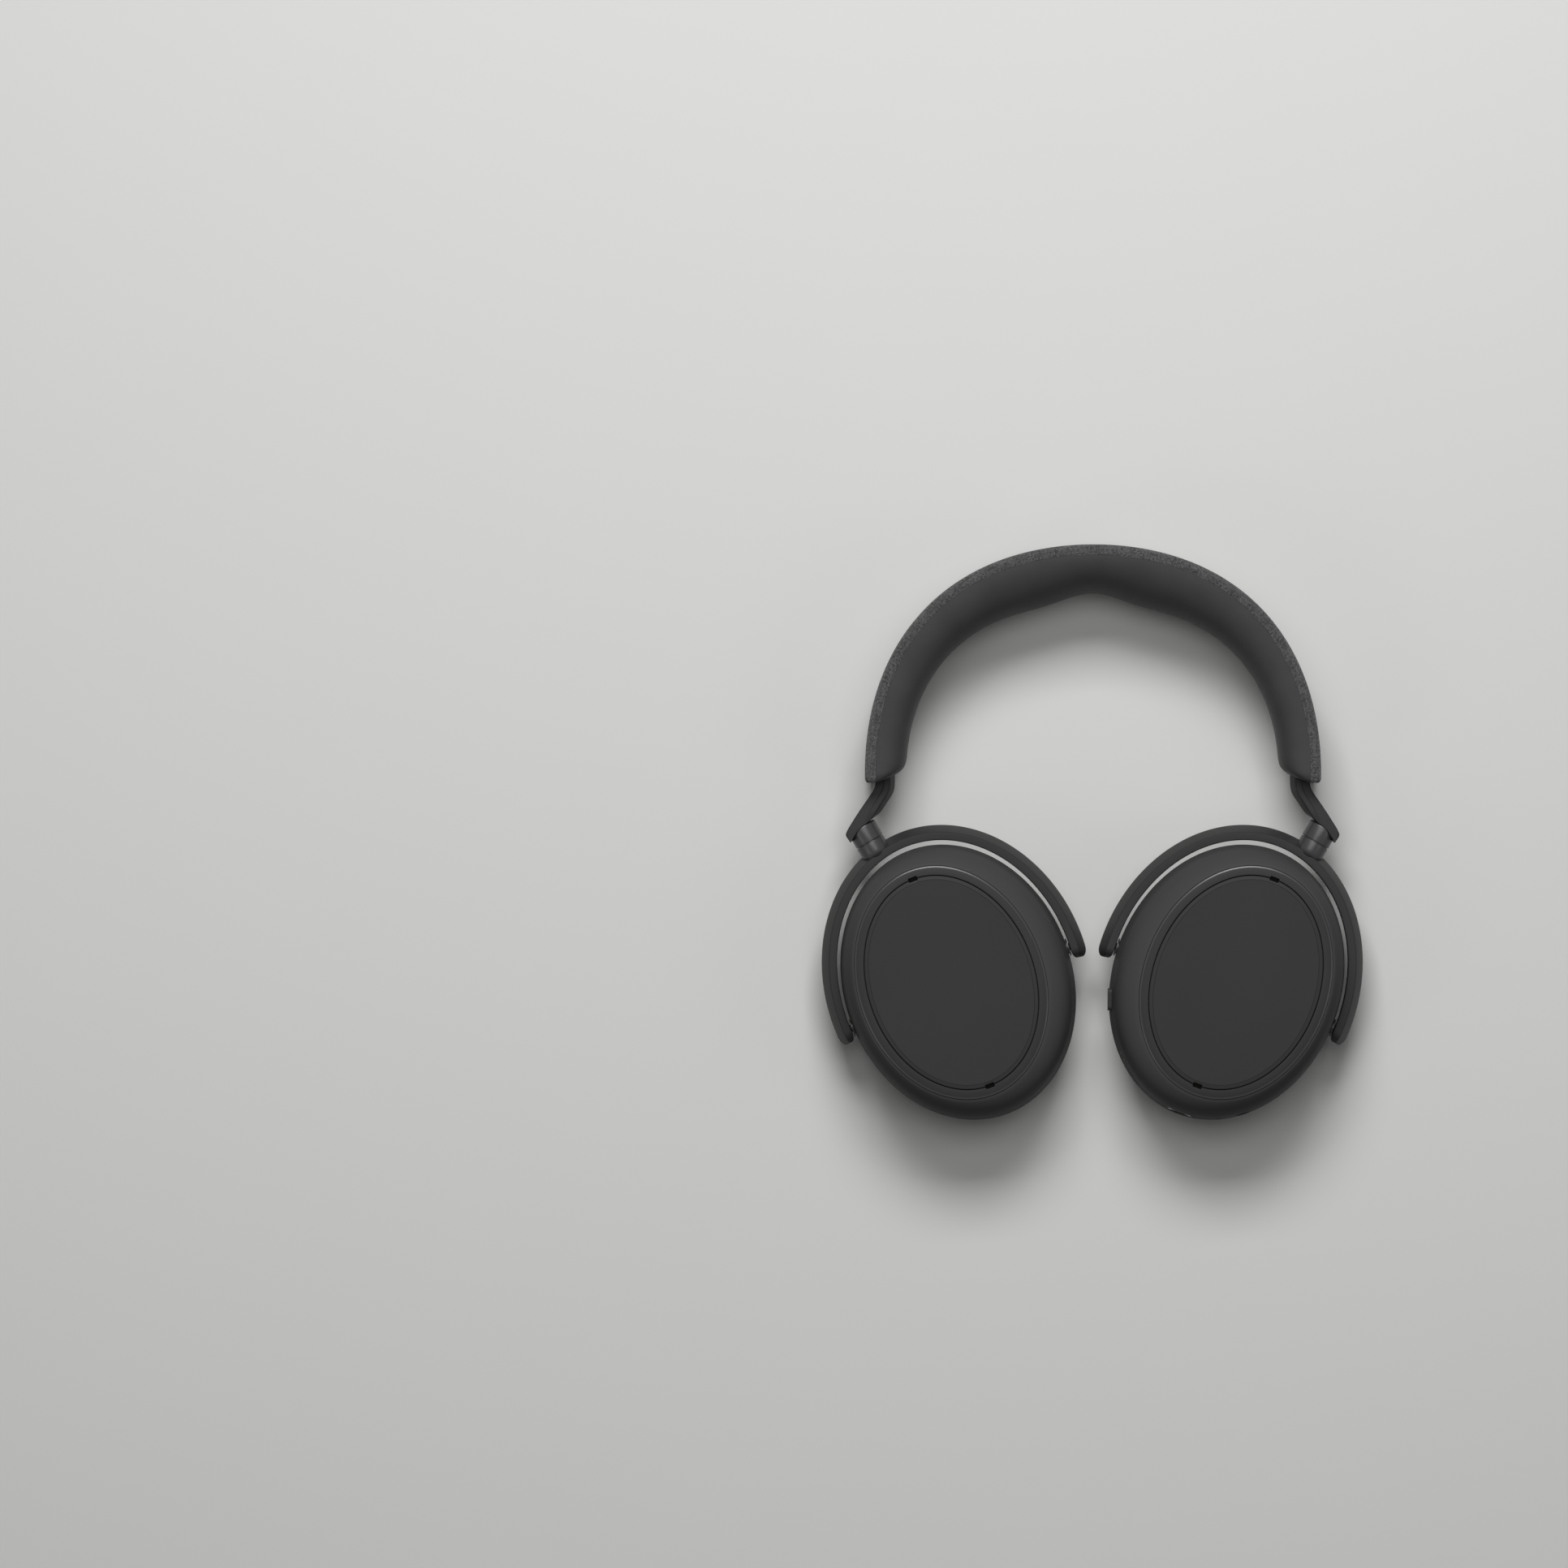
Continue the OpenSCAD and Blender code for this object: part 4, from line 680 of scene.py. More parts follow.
def cover_surface(sizes):
    """Woven cover: a wide C-shaped section swept round the band. The section runs from one lip's edge
    round the outer face to the other lip and back inside; its corners are quarter ellipses. At each end
    the inside is filled up to the lips by a hem."""
    turns = band_turns(count=260)[:, None]
    wall = sizes.cover_wall
    corner_depth, corner_height = 1.9 * MM, 1.7 * MM
    lip_lean = 0.22 * MM  # how far a lip leans in at its edge
    lip_chamfer = 0.2 * MM  # on the inner side of that edge
    floor_inset = 4 * MM  # from the wall to the first row on the inside
    # length of the rounding at each end, and how far the cover draws in and dips there
    end_reach, end_taper, end_dip = 1.6 * MM, 1.3 * MM, 0.9 * MM
    hem_full, hem_start = 1.2 * MM, 1.8 * MM  # distances from the band's end
    hem_gap = 0.25 * MM  # left between the hem and a lip's edge
    arc = np.linspace(0, math.pi / 2, 9)
    # depth below the outer face, and distance down from the edge of the band
    lip = np.linspace(sizes.lip_depth, corner_depth, 5)[:-1]
    lip_share = (lip - corner_depth) / (sizes.lip_depth - corner_depth)
    outer_depth = np.concatenate([lip, corner_depth * (1 - np.sin(arc))])
    outer_down = np.concatenate([lip_lean * lip_share ** 2, corner_height * (1 - np.cos(arc))])
    inner_depth = np.array([wall, wall, sizes.lip_depth - lip_chamfer, sizes.lip_depth])
    inner_down = np.array([wall + floor_inset, wall, wall, wall - lip_chamfer])
    shrink = end_shrink(turns, end_reach, sizes)
    edge = band_half(turns, sizes) - end_taper * (1 - shrink)
    middle = np.linspace(1, -1, 15)[1:-1]
    upper = edge - outer_down
    face = (edge - corner_height) * middle
    lower = -(edge - outer_down[::-1])
    inside = np.concatenate([-(edge - inner_down[::-1]), edge - inner_down], 1)
    z = np.concatenate([upper, face, lower, inside], 1)
    section = np.concatenate([outer_depth, 0 * middle, outer_depth[::-1], inner_depth[::-1], inner_depth])
    hem = 1 - smooth_step(to_end(turns, sizes), hem_full, hem_start)
    depth = section + hem * (sizes.lip_depth - hem_gap - wall) * (section == wall)
    depth = depth + end_dip * (1 - shrink) * (depth < wall / 2)
    points = band_points(turns, depth, z, sizes)
    along = turns * sizes.band_radius
    steps = np.diff(np.stack([depth, z], -1), axis=1, prepend=np.stack([depth, z], -1)[:, :1])
    around = np.cumsum(np.linalg.norm(steps, axis=-1), axis=1)
    around = around - around[:, outer_depth.size + middle.size // 2][:, None]
    places = np.stack(np.broadcast_arrays(along, around), -1)
    return Surface().add(points, places=places)


def pad_surface(sizes):
    """Padded lining: a rounded-box section, from one seam round the inner face to the other, swept round
    the band. Its depth follows the band's curve. Towards each end its inner face curves in to the cover
    by a quarter ellipse, and the end slopes away from the cover, by the square of the nearness to the
    end times the depth."""
    turns = band_turns(count=240, end_rings=40)[:, None]
    back = sizes.lip_depth + 0.04 * MM  # the pad's back lies just clear of the lips
    side_gap = 0.22 * MM  # between the pad and the band's edge
    end_reach, end_taper = 3.4 * MM, 1.8 * MM  # the rounding at each end, and how far it draws in
    squarer = 0.3  # the section's power is this much lower at the ends
    seat_share = 0.45  # of the band's end width, on each side
    slope_turn = math.radians(7)  # stretch over which an end slopes
    f = np.linspace(math.pi / 2, -math.pi / 2, 61)
    power = 1 - squarer * np.sin(np.minimum(np.abs(turns), math.pi / 2)) ** 2
    shrink = end_shrink(turns, end_reach, sizes)
    rounded = end_shrink(turns, sizes.pad_corner, sizes)
    bulge = (pad_depth(turns, sizes) - back) * (1 - PAD_END_CUT * (1 - rounded))
    half = band_half(turns, sizes) - side_gap - end_taper * (1 - shrink)
    z = half * np.sign(np.sin(f)) * np.abs(np.sin(f)) ** power
    depth = back + bulge * np.abs(np.cos(f)) ** power
    seat = np.array([-seat_share, seat_share]) * sizes.band_end_width
    z = np.concatenate([z, np.tile(seat, (len(turns), 1))], 1)
    depth = np.concatenate([depth, np.full((len(turns), 2), back)], 1)
    points = band_points(turns, depth, z, sizes)
    near = np.clip((np.abs(turns) - BAND_END + slope_turn) / slope_turn, 0, 1)
    deep = (depth - back) / (sizes.pad_end_depth - back)
    points[..., 1] += sizes.pad_slope * near ** 2 * deep
    return Surface().add(points)


# ---------------------------------------------------------------- arm and hub

YOKE_CENTRE_Y = -0.4 * MM  # centre of the yoke's curve, up the cup's long axis
YOKE_TOP_PLAY = 0.4 * MM  # what the yoke's top gains where its centre is lower
HUB_STAND = 0.85 * MM  # from the yoke's top to the split of the hub
SPLIT_GAP = 0.3 * MM  # gap between the two rings of the hub
SPLIT_EDGE = 0.18 * MM  # rounding of the two rings beside that gap
EDGE_STEPS = 7  # points round a ring's rounded edge


def foot_centre(sizes):
    """Centre of the housing's foot, in the cup's own frame."""
    return np.array([-sizes.foot_inset, -sizes.foot_drop])


def yoke_axes(sizes):
    """Half length and half breadth of the yoke's inner edge."""
    return (sizes.cup_length / 2 - sizes.foot_drop + sizes.yoke_gap + YOKE_TOP_PLAY,
            sizes.cup_breadth / 2 + sizes.yoke_side_gap)


def hub_split(sizes):
    """Distance from the plate's centre to the split between the two hub rings."""
    return yoke_axes(sizes)[0] + sizes.yoke_face + sizes.yoke_flare + HUB_STAND


# Edges of the arm's flat face, across and up from the middle of the hub's split, in millimetres.
# They start just inside the band's end, bend at the elbow, and meet at the foot beside the upper ring.
ARM_OUTER = [(-13.1, 19.3), (-11.7, 16.6), (-10.6, 14.9), (-8.2, 13.5), (-4.6, 11.9), (0.2, 9.5),
             (4.3, 7.3), (5.9, 6.2), (6.0, 5.2), (5.8, 3.0)]
ARM_INNER = [(-17.6, 16.7), (-16.0, 13.9), (-14.6, 11.7), (-12.3, 10.3), (-9.2, 8.8), (-5.4, 6.7),
             (-3.3, 5.9), (0.6, 5.6), (3.4, 4.2), (5.6, 3.0)]


def arm_surface(sizes, side):
    """Arm: a section carried along two smooth edge lines. The section has a flat face, a low bead along
    the inner edge and a flank that slopes inwards; bead and flank fade out beside the hub."""
    count = 120
    half_height = 5.2 * MM
    fade_start, fade_end = 0.5, 0.62  # shares of the arm's length, from the band
    full_width = 3.2 * MM  # where the arm is narrower, the section shrinks
    outer_chamfer = 0.45 * MM
    bead_foot, bead_far, bead_near = 2.5 * MM, 2.2 * MM, 0.4 * MM  # distances from the inner edge
    bead_rise, inner_drop = 0.3 * MM, 0.3 * MM
    flank_lean, flank_height = 1.472 * MM, 1.4 * MM
    outer = smooth_line(ARM_OUTER, count) * MM
    inner = smooth_line(ARM_INNER, count) * MM
    across = outer - inner
    width = np.linalg.norm(across, axis=1)[:, None]
    keep = 1 - smooth_step(np.linspace(0, 1, count)[:, None], fade_start, fade_end)
    room = np.minimum(1, width / full_width)
    # distances from the inner edge towards the outer one, and heights
    w_top = np.concatenate([width, width - outer_chamfer * room, bead_foot * room, bead_far * room,
                            bead_near * room, 0 * width, -flank_lean * keep], 1)
    rise = np.array([-outer_chamfer, 0, 0, 0, 0, -inner_drop, flank_height - half_height])
    z_top = half_height + rise + bead_rise * keep * np.array([0, 0, 0, 1, 1, 0, 0])
    w = np.concatenate([w_top, w_top[:, ::-1]], 1)
    z = np.concatenate([z_top, -z_top[:, ::-1]], 1)
    plan = inner[:, None] + w[..., None] * (across / width)[:, None]
    section = np.concatenate([plan, z[..., None]], -1)
    rings = soft_corners(section, 0.16 * MM, steps=4, most=0.45)
    return Surface().add(on_swivel(rings + np.array([0, hub_split(sizes), 0]), side))


def strip_surface(side):
    """Slider strip: a rounded flat bar with a row of shallow round notches along its inner face. Its
    foot is a narrower tang, which ends inside the arm."""
    low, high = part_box("slider_strip_right")
    tang, shoulder = 2.1 * MM, 4.9 * MM  # the tang starts and ends this far up the strip
    tang_width = 0.55  # share of the strip's width
    tip, tip_cut = 0.3 * MM, 0.12  # length of the tip, and the share that it is narrower
    notch_pitch, notch_reach, notch_depth = 2 * MM, 0.45 * MM, 0.35 * MM
    notches, first_notch = 8 * MM, 9.1 * MM  # how far up the strip they start, and are counted
    y = np.concatenate([np.linspace(low.y + tang, low.y + shoulder, 4),
                        np.linspace(low.y + shoulder + 0.1 * MM, high.y, 330)])[:, None]
    half_x, half_z = (high.x - low.x) / 2, (high.z - low.z) / 2
    # The corner half way down the notched side is a straight one: it gives that side its points
    corners = [(half_x, half_z), (-half_x, half_z), (-half_x, 0), (-half_x, -half_z), (half_x, -half_z)]
    section = soft_corners(corners, np.array([0.3, 0.3, 2.5, 0.3, 0.3]) * MM)
    wide = np.where(y > low.y + shoulder, 1, tang_width) * (1 - tip_cut * (y > high.y - tip))
    nearest = np.abs((y - low.y - first_notch) % notch_pitch - notch_pitch / 2)
    groove = np.sqrt(np.clip(1 - (nearest / notch_reach) ** 2, 0, 1)) * (y > low.y + notches)
    x = section[:, 0] + notch_depth * groove * (section[:, 0] < 0)
    z = section[:, 1] * wide
    points = np.stack(np.broadcast_arrays((low.x + high.x) / 2 + x, y, (low.z + high.z) / 2 + z), -1)
    return Surface().add(mirrored(points, side))


def guide_surface(sizes, side):
    """Slider guide: a soft-edged sleeve that fills the space between the band's cover and the strip's
    inner side, along the part where the strip runs in it. Its lower end is set back inside the pad."""
    low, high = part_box("slider_guide_right")
    strip_low, strip_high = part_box("slider_strip_right")
    setback, top_gap = 3.8 * MM, 5 * MM  # from the guide's lower end and the strip's upper one
    inner_wall, clearance = 1.4 * MM, 0.15 * MM
    y = np.linspace(low.y + setback, strip_high.y - top_gap, 24)[:, None]
    outer_x = np.sqrt(high.x ** 2 - (y - band_centre_y(sizes)) ** 2)
    inner_x = strip_low.x - inner_wall
    square = soft_corners([(1, 1), (-1, 1), (-1, -1), (1, -1)], 0.12).T
    half_height = (high.z - low.z) / 2
    outside = [(outer_x + inner_x) / 2 + (outer_x - inner_x) / 2 * square[0], y, half_height * square[1]]
    half_wall = (strip_high.x - strip_low.x) / 2 + clearance
    half_width = (strip_high.z - strip_low.z) / 2 + clearance
    way = [(strip_low.x + strip_high.x) / 2 + half_wall * square[0], y[::-1], half_width * square[1]]
    rows = [np.stack(np.broadcast_arrays(*part), -1) for part in (outside, way)]
    points = np.concatenate(rows) + np.array([0, 0, AXIS_HEIGHT])
    return Surface().add(mirrored(points, side), ring_rows=True)


def ring_profile(low, high, radius, low_edge, high_edge):
    """Half section of a solid ring on the axis: two flat ends joined by a wall with rounded edges."""
    turn = np.linspace(0, math.pi / 2, EDGE_STEPS)
    lower = np.stack([radius - low_edge * (1 - np.sin(turn)), low + low_edge * (1 - np.cos(turn))], -1)
    upper = np.stack([radius - high_edge * (1 - np.cos(turn)), high - high_edge * (1 - np.sin(turn))], -1)
    return np.concatenate([[[POLE, low]], lower, upper, [[POLE, high]]])


def hub_ring_upper(sizes):
    """Upper hub ring, on the arm: a short round drum with a soft upper edge. A spigot below it nearly
    fills the gap over the lower ring, so that the split is a dark line."""
    split = hub_split(sizes)
    radius = sizes.hub_diameter / 2
    height, upper_edge = 6 * MM, 0.8 * MM
    low = split + SPLIT_GAP / 2
    drum = ring_profile(low, split + height, radius, SPLIT_EDGE, upper_edge)[1:]
    spigot, spigot_low = radius - 0.4 * MM, split - 0.1 * MM
    return lathe(np.concatenate([[[POLE, spigot_low], [spigot, spigot_low], [spigot, low]], drum]))


def hub_ring_lower(sizes):
    """Lower hub ring, on the yoke: a drum that narrows by a quarter ellipse where it runs into the hoop."""
    radius = sizes.hub_diameter / 2
    low = yoke_axes(sizes)[0] + 0.5 * MM  # inside the hoop's flat face
    root = 0.4 * MM  # length of the cone that closes it, inside the hoop
    neck_cut, neck_height = 1.2 * MM, 2.6 * MM
    turn = np.linspace(0, math.pi / 2, 13)
    neck = np.stack([radius - neck_cut * (1 - np.sin(turn)), low + neck_height * (1 - np.cos(turn))], -1)
    drum = ring_profile(low, hub_split(sizes) - SPLIT_GAP / 2, radius, SPLIT_EDGE, SPLIT_EDGE)
    return lathe(np.concatenate([[[POLE, low - root]], neck, drum[1 + EDGE_STEPS:]]))


# ---------------------------------------------------------------- yoke

def yoke_surface(sizes, side):
    """Yoke: half an elliptical hoop. Its section has a flat face, a flank that flares outwards and soft
    edges; the last stretch at each tip closes by a quarter ellipse."""
    a, b = yoke_axes(sizes)
    face, flare = sizes.yoke_face, sizes.yoke_flare
    half_height = 4.2 * MM
    inner_foot, inner_edge = 1 * MM, 0.26 * MM  # chamfers of the inner side, below and above
    foot_width, foot_height = 1.3 * MM, 1.5 * MM  # chamfer of the outer lower edge
    edge_out, edge_in, edge_drop = 0.12 * MM, 0.16 * MM, 0.3 * MM  # chamfer of the face's outer edge
    corners = [(0, inner_foot - half_height), (inner_foot, -half_height),
               (face + flare - foot_width, -half_height), (face + flare, foot_height - half_height),
               (face + edge_out, half_height - edge_drop), (face - edge_in, half_height),
               (inner_edge, half_height), (0, half_height - inner_edge)]
    reaches = np.array([0.4, 0.4, 0.6, 0.7, 0.1, 0.1, 0.1, 0.1]) * MM  # of the corners' arcs
    w, z = soft_corners(corners, reaches).T
    pivot_y, tail = -2.9 * MM, 3.8 * MM  # each tip reaches a tail's length past the pivot
    tip = 2.6 * MM / b  # turn over which a tip closes
    tip_play = 0.015  # turn by which its rounding goes further
    tip_width, tip_height = 0.35, 0.12  # shares that are left of the section at its end
    low_end = math.asin((pivot_y - tail - YOKE_CENTRE_Y) / (a + face)) - tip_play
    high_end = math.pi - low_end
    close = tip * (1 - np.sin(np.linspace(0, math.pi / 2, 16)))
    turns = np.concatenate([
        (low_end + close)[::-1], np.linspace(low_end + tip, high_end - tip, 220)[1:-1], high_end - close,
    ])
    u = np.clip(1 - np.minimum(turns - low_end, high_end - turns) / tip, 0, 1)
    shrink = np.sqrt(np.maximum(1 - u * u, 0))[:, None]
    mid_w, mid_z = (face + flare) * 0.42, -1.2 * MM  # the section shrinks towards this point
    w = mid_w + (w - mid_w) * (tip_width + (1 - tip_width) * shrink)
    z = mid_z + (z - mid_z) * (tip_height + (1 - tip_height) * shrink)
    x = -sizes.foot_inset + (b + w) * np.cos(turns)[:, None]
    y = YOKE_CENTRE_Y + (a + w) * np.sin(turns)[:, None]
    return Surface().add(on_cup(np.stack([x, y, z], -1), side))


# ---------------------------------------------------------------- cup

SHOULDER_LIP = 0.5 * MM  # housing that shows outside the trim ring
HOUSING_WALL = 2 * MM
PORT_DEPTH = 1.7 * MM  # a little less than the wall
BEVEL_LEAN = 0.4  # share of the bevel that leans evenly; the rest curves
TUCK = 1.6 * MM  # how far the housing would tuck in at its rim
TUCK_SHARE = 0.94  # square of the share of that quarter ellipse in use


def side_full(sizes):
    """How far the housing's shoulder lies inside its widest line."""
    return (sizes.cup_length - sizes.trim_length) / 2 - SHOULDER_LIP


def side_draw(z, sizes):
    """How far the housing's side at height z lies inside its widest line: a steep wall up to the crisp
    edge, then a bevel that leans in more and more, by the cube of its height."""
    wall = np.clip((z - WIDE_Z) / sizes.crease_rise, 0, 1)
    crease_z = WIDE_Z + sizes.crease_rise
    bevel = np.clip((z - crease_z) / (SHOULDER_Z - crease_z), 0, 1)
    lean = BEVEL_LEAN * bevel + (1 - BEVEL_LEAN) * bevel ** 3
    return sizes.crease_draw * wall + (side_full(sizes) - sizes.crease_draw) * lean


def housing_axes(z, sizes):
    """Half length, half breadth and centre of the housing's outside at height z. Below its widest line
    the housing tucks in towards the rim by a part of a quarter ellipse."""
    foot = 1 - side_draw(z, sizes) / side_full(sizes)
    down = np.clip((WIDE_Z - z) / (WIDE_Z - RIM_Z), 0, 1)
    tuck = TUCK * (1 - np.sqrt(1 - TUCK_SHARE * down * down))
    a = (sizes.trim_length / 2 + SHOULDER_LIP) * (1 - foot) + sizes.cup_length / 2 * foot - tuck
    b = (sizes.trim_breadth / 2 + SHOULDER_LIP) * (1 - foot) + sizes.cup_breadth / 2 * foot - tuck
    return a, b, foot[:, None] * foot_centre(sizes)


def rim_speed(turn, sizes):
    """Length of the widest line for each radian of turn."""
    return math.hypot(sizes.cup_breadth / 2 * math.sin(turn), sizes.cup_length / 2 * math.cos(turn))


def cup_ports(side, sizes):
    """Turn, length, width and height of each opening in the housing's side."""
    height, small = sizes.port_height, 1.4 * MM
    if side < 0:
        return [(math.radians(302.5), small, small, height)]  # call microphone
    middle = math.radians(235.7)
    step = sizes.light_pitch / rim_speed(middle, sizes)
    lights = [(middle + i * step, small, small, height) for i in range(-2, 3)]
    return lights + [
        (math.radians(204), 7.6 * MM, 2.8 * MM, height),  # power button
        (math.radians(270), 9.14 * MM, 3.46 * MM, height),  # charging socket
        (math.radians(290), small, small, height),  # call microphone
        (math.radians(302.5), 4.8 * MM, 4.8 * MM, height),  # audio socket
    ]


def rim_frame(turn, sizes):
    """Point of the widest line at a turn, in plan, and the direction straight out from it."""
    a, b = sizes.cup_length / 2, sizes.cup_breadth / 2
    out = np.array([math.cos(turn) / b, math.sin(turn) / a])
    point = foot_centre(sizes) + np.array([b * math.cos(turn), a * math.sin(turn)])
    return point, out / np.linalg.norm(out)


def pressed(points, ports, sizes):
    """Points of the housing with its openings pressed in: what lies inside an opening's outline, a bar
    with round ends, goes straight inwards by the depth of a port."""
    points = points.copy()
    near_side, edge = 6 * MM, 0.12 * MM  # how deep a point may lie, and the edge's rounding
    for turn, length_, width, height in ports:
        point, out = rim_frame(turn, sizes)
        away = points[..., :2] - point
        along = np.abs(away @ np.array([-out[1], out[0]]))
        past = np.maximum(along - (length_ - width) / 2, 0)
        inside = width / 2 - np.hypot(past, points[..., 2] - height)
        depth = PORT_DEPTH * smooth_step(inside, 0, edge) * (away @ out > -near_side)
        points[..., :2] -= depth[..., None] * out
    return points


def housing_surface(sizes, side):
    """Cup housing: ellipses stacked up its side, over the shoulder, down the recess for the plate, and
    back inside along the wall to the rim, with the openings pressed into its outside."""
    count = {1: 560, -1: 300}[side]  # the right cup has more openings
    reach = {1: 2.7 * MM, -1: 1 * MM}[side]  # closer rows above and below their middle
    row, margin = 0.13 * MM, 0.4 * MM  # distance between those rows; columns beside them
    near, far = 0.1 * MM, 0.3 * MM  # rows beside the crisp edge
    edge_soft, edge_zone = 0.07 * MM, 0.2 * MM  # rounding of the crisp edge
    round_height, round_in = 0.4 * MM, 0.3 * MM  # rounding of the shoulder
    play = 0.1 * MM  # between the trim ring and its recess
    ports = cup_ports(side, sizes)
    spots = [(turn, (length_ / 2 + margin) / rim_speed(turn, sizes)) for turn, length_, *_ in ports]
    turns = dense_turns(count, spots)
    crease_z = WIDE_Z + sizes.crease_rise
    low, high = sizes.port_height - reach, sizes.port_height + reach
    quarter = np.linspace(0, math.pi / 2, 4)[1:]
    z = np.concatenate([
        np.linspace(RIM_Z, low, 12)[:-1], np.arange(low, high, row),
        np.linspace(high, crease_z - far, 6), [crease_z - near, crease_z + near],
        np.linspace(crease_z + far, SHOULDER_Z - round_height, 24),
        SHOULDER_Z - round_height * (1 - np.sin(quarter)),
    ])
    a, b, centre = housing_axes(z, sizes)
    cut = edge_soft * (np.abs(z - crease_z) < edge_zone)
    cut = cut + round_in * np.clip((z - SHOULDER_Z + round_height) / round_height, 0, 1) ** 2
    outside = pressed(ellipse_rings(a - cut, b - cut, z, turns, centre), ports, sizes)
    trim_a, trim_b = sizes.trim_length / 2 + play, sizes.trim_breadth / 2 + play
    recess = ellipse_rings([trim_a, trim_a, trim_a / 2, POLE], [trim_b, trim_b, trim_b / 2, POLE],
                           [SHOULDER_Z, DECK_Z, DECK_Z, DECK_Z], turns)
    under = np.array([DECK_Z - HOUSING_WALL, crease_z, WIDE_Z])
    in_a, in_b, in_centre = housing_axes(under[[0, 1, 2, 2]], sizes)
    inside = ellipse_rings([POLE, *(in_a - HOUSING_WALL)], [POLE, *(in_b - HOUSING_WALL)],
                           [under[0], *under, RIM_Z], turns, np.concatenate([[[0, 0]], in_centre]))
    rows = np.concatenate([outside, recess, inside])
    return Surface().add(on_cup(rows, side), ring_rows=True)


GROOVE = 0.28 * MM  # gap between the trim ring and the plate
SLOT_DEPTH = 1.5 * MM  # size of a microphone slot across the groove
SLOT_MARGIN = 0.5 * MM  # closer columns beside a slot
SLOT_EDGE = 0.08 * MM  # width over which a slot's end starts


def slot_turns(sizes):
    """Turns round the plate, closer where the microphone slots cross its edge."""
    half = (sizes.mic_slot / 2 + SLOT_MARGIN) / (sizes.trim_breadth / 2)
    return dense_turns(420, [(math.pi / 2, half), (1.5 * math.pi, half)])


def slotted(points, sizes, inwards):
    """Points with the two microphone slots cut out: within a slot's width, what lies nearer to the
    groove than the slot's edge moves to that edge, inwards on the plate and outwards on the ring."""
    points = points.copy()
    groove_y = sizes.trim_length / 2 - sizes.trim_width - GROOVE / 2
    x, y = np.abs(points[..., 0]), points[..., 1]
    share = 1 - smooth_step(x, sizes.mic_slot / 2, sizes.mic_slot / 2 + SLOT_EDGE)
    if inwards:
        edge = np.minimum(np.abs(y), groove_y - SLOT_DEPTH / 2)
    else:
        edge = np.maximum(np.abs(y), groove_y + SLOT_DEPTH / 2)
    points[..., 1] = np.sign(y) * (np.abs(y) * (1 - share) + edge * share)
    return points


CHAMFER_ROW = 5  # row of the trim ring's faces that is its chamfer


def trim_surface(sizes, side):
    """Trim ring: a flat band carried round the ellipse, with a soft outer edge and a chamfer between that
    and its face."""
    turns = slot_turns(sizes)
    chamfer, width = 0.45 * MM, sizes.trim_width
    soft, inner_edge = 0.14 * MM, 0.12 * MM
    low = FACE_Z - 0.5 * chamfer
    turn = np.linspace(0, math.pi / 3, 5)
    outer = np.stack([soft * (1 - np.cos(turn)), low - soft * (1 - np.sin(turn))], -1)
    inner = [(width - inner_edge, FACE_Z), (width, FACE_Z - inner_edge), (width, DECK_Z)]
    inset, z = np.concatenate([[(0, DECK_Z)], outer, [(soft + chamfer, FACE_Z)], inner]).T
    rings = ellipse_rings(sizes.trim_length / 2 - inset, sizes.trim_breadth / 2 - inset, z, turns)
    rings[-3:] = slotted(rings[-3:], sizes, inwards=False)
    return Surface().add(on_cup(rings, side), ring_rows=True)


def plate_surface(sizes, side):
    """Outer plate: a flat disc. Its margin falls away in a shallow bevel to the groove, and a hairline
    runs round it where the bevel starts."""
    turns = slot_turns(sizes)
    bevel, bevel_top = 1.3 * MM, 0.03 * MM  # width of the bevel, and its depth at the hairline
    hair, hair_depth = 0.09 * MM, 0.12 * MM  # half the hairline's width, and its depth
    edge, edge_top, edge_low = 0.12 * MM, 0.2 * MM, 0.34 * MM
    a = sizes.trim_length / 2 - sizes.trim_width - GROOVE
    b = sizes.trim_breadth / 2 - sizes.trim_width - GROOVE
    margin = [(0, FACE_Z - PLATE_LOW_Z), (0, edge_low), (edge, edge_top), (bevel - hair, bevel_top),
              (bevel, hair_depth), (bevel + hair, 0)]
    inset, depth = np.array(margin).T
    inset = np.concatenate([[b - POLE, b / 2], inset, b * np.linspace(0.1, 1, 8)[:-1], [b - POLE]])
    z = np.concatenate([[PLATE_LOW_Z] * 2, FACE_Z - depth, [FACE_Z] * 8])
    rings = ellipse_rings(a - inset * a / b, b - inset, z, turns)
    rim = inset < 2 * bevel
    rings[rim] = ellipse_rings(a - inset[rim], b - inset[rim], z[rim], turns)
    rings[rim] = slotted(rings[rim], sizes, inwards=True)
    return Surface().add(on_cup(rings, side))


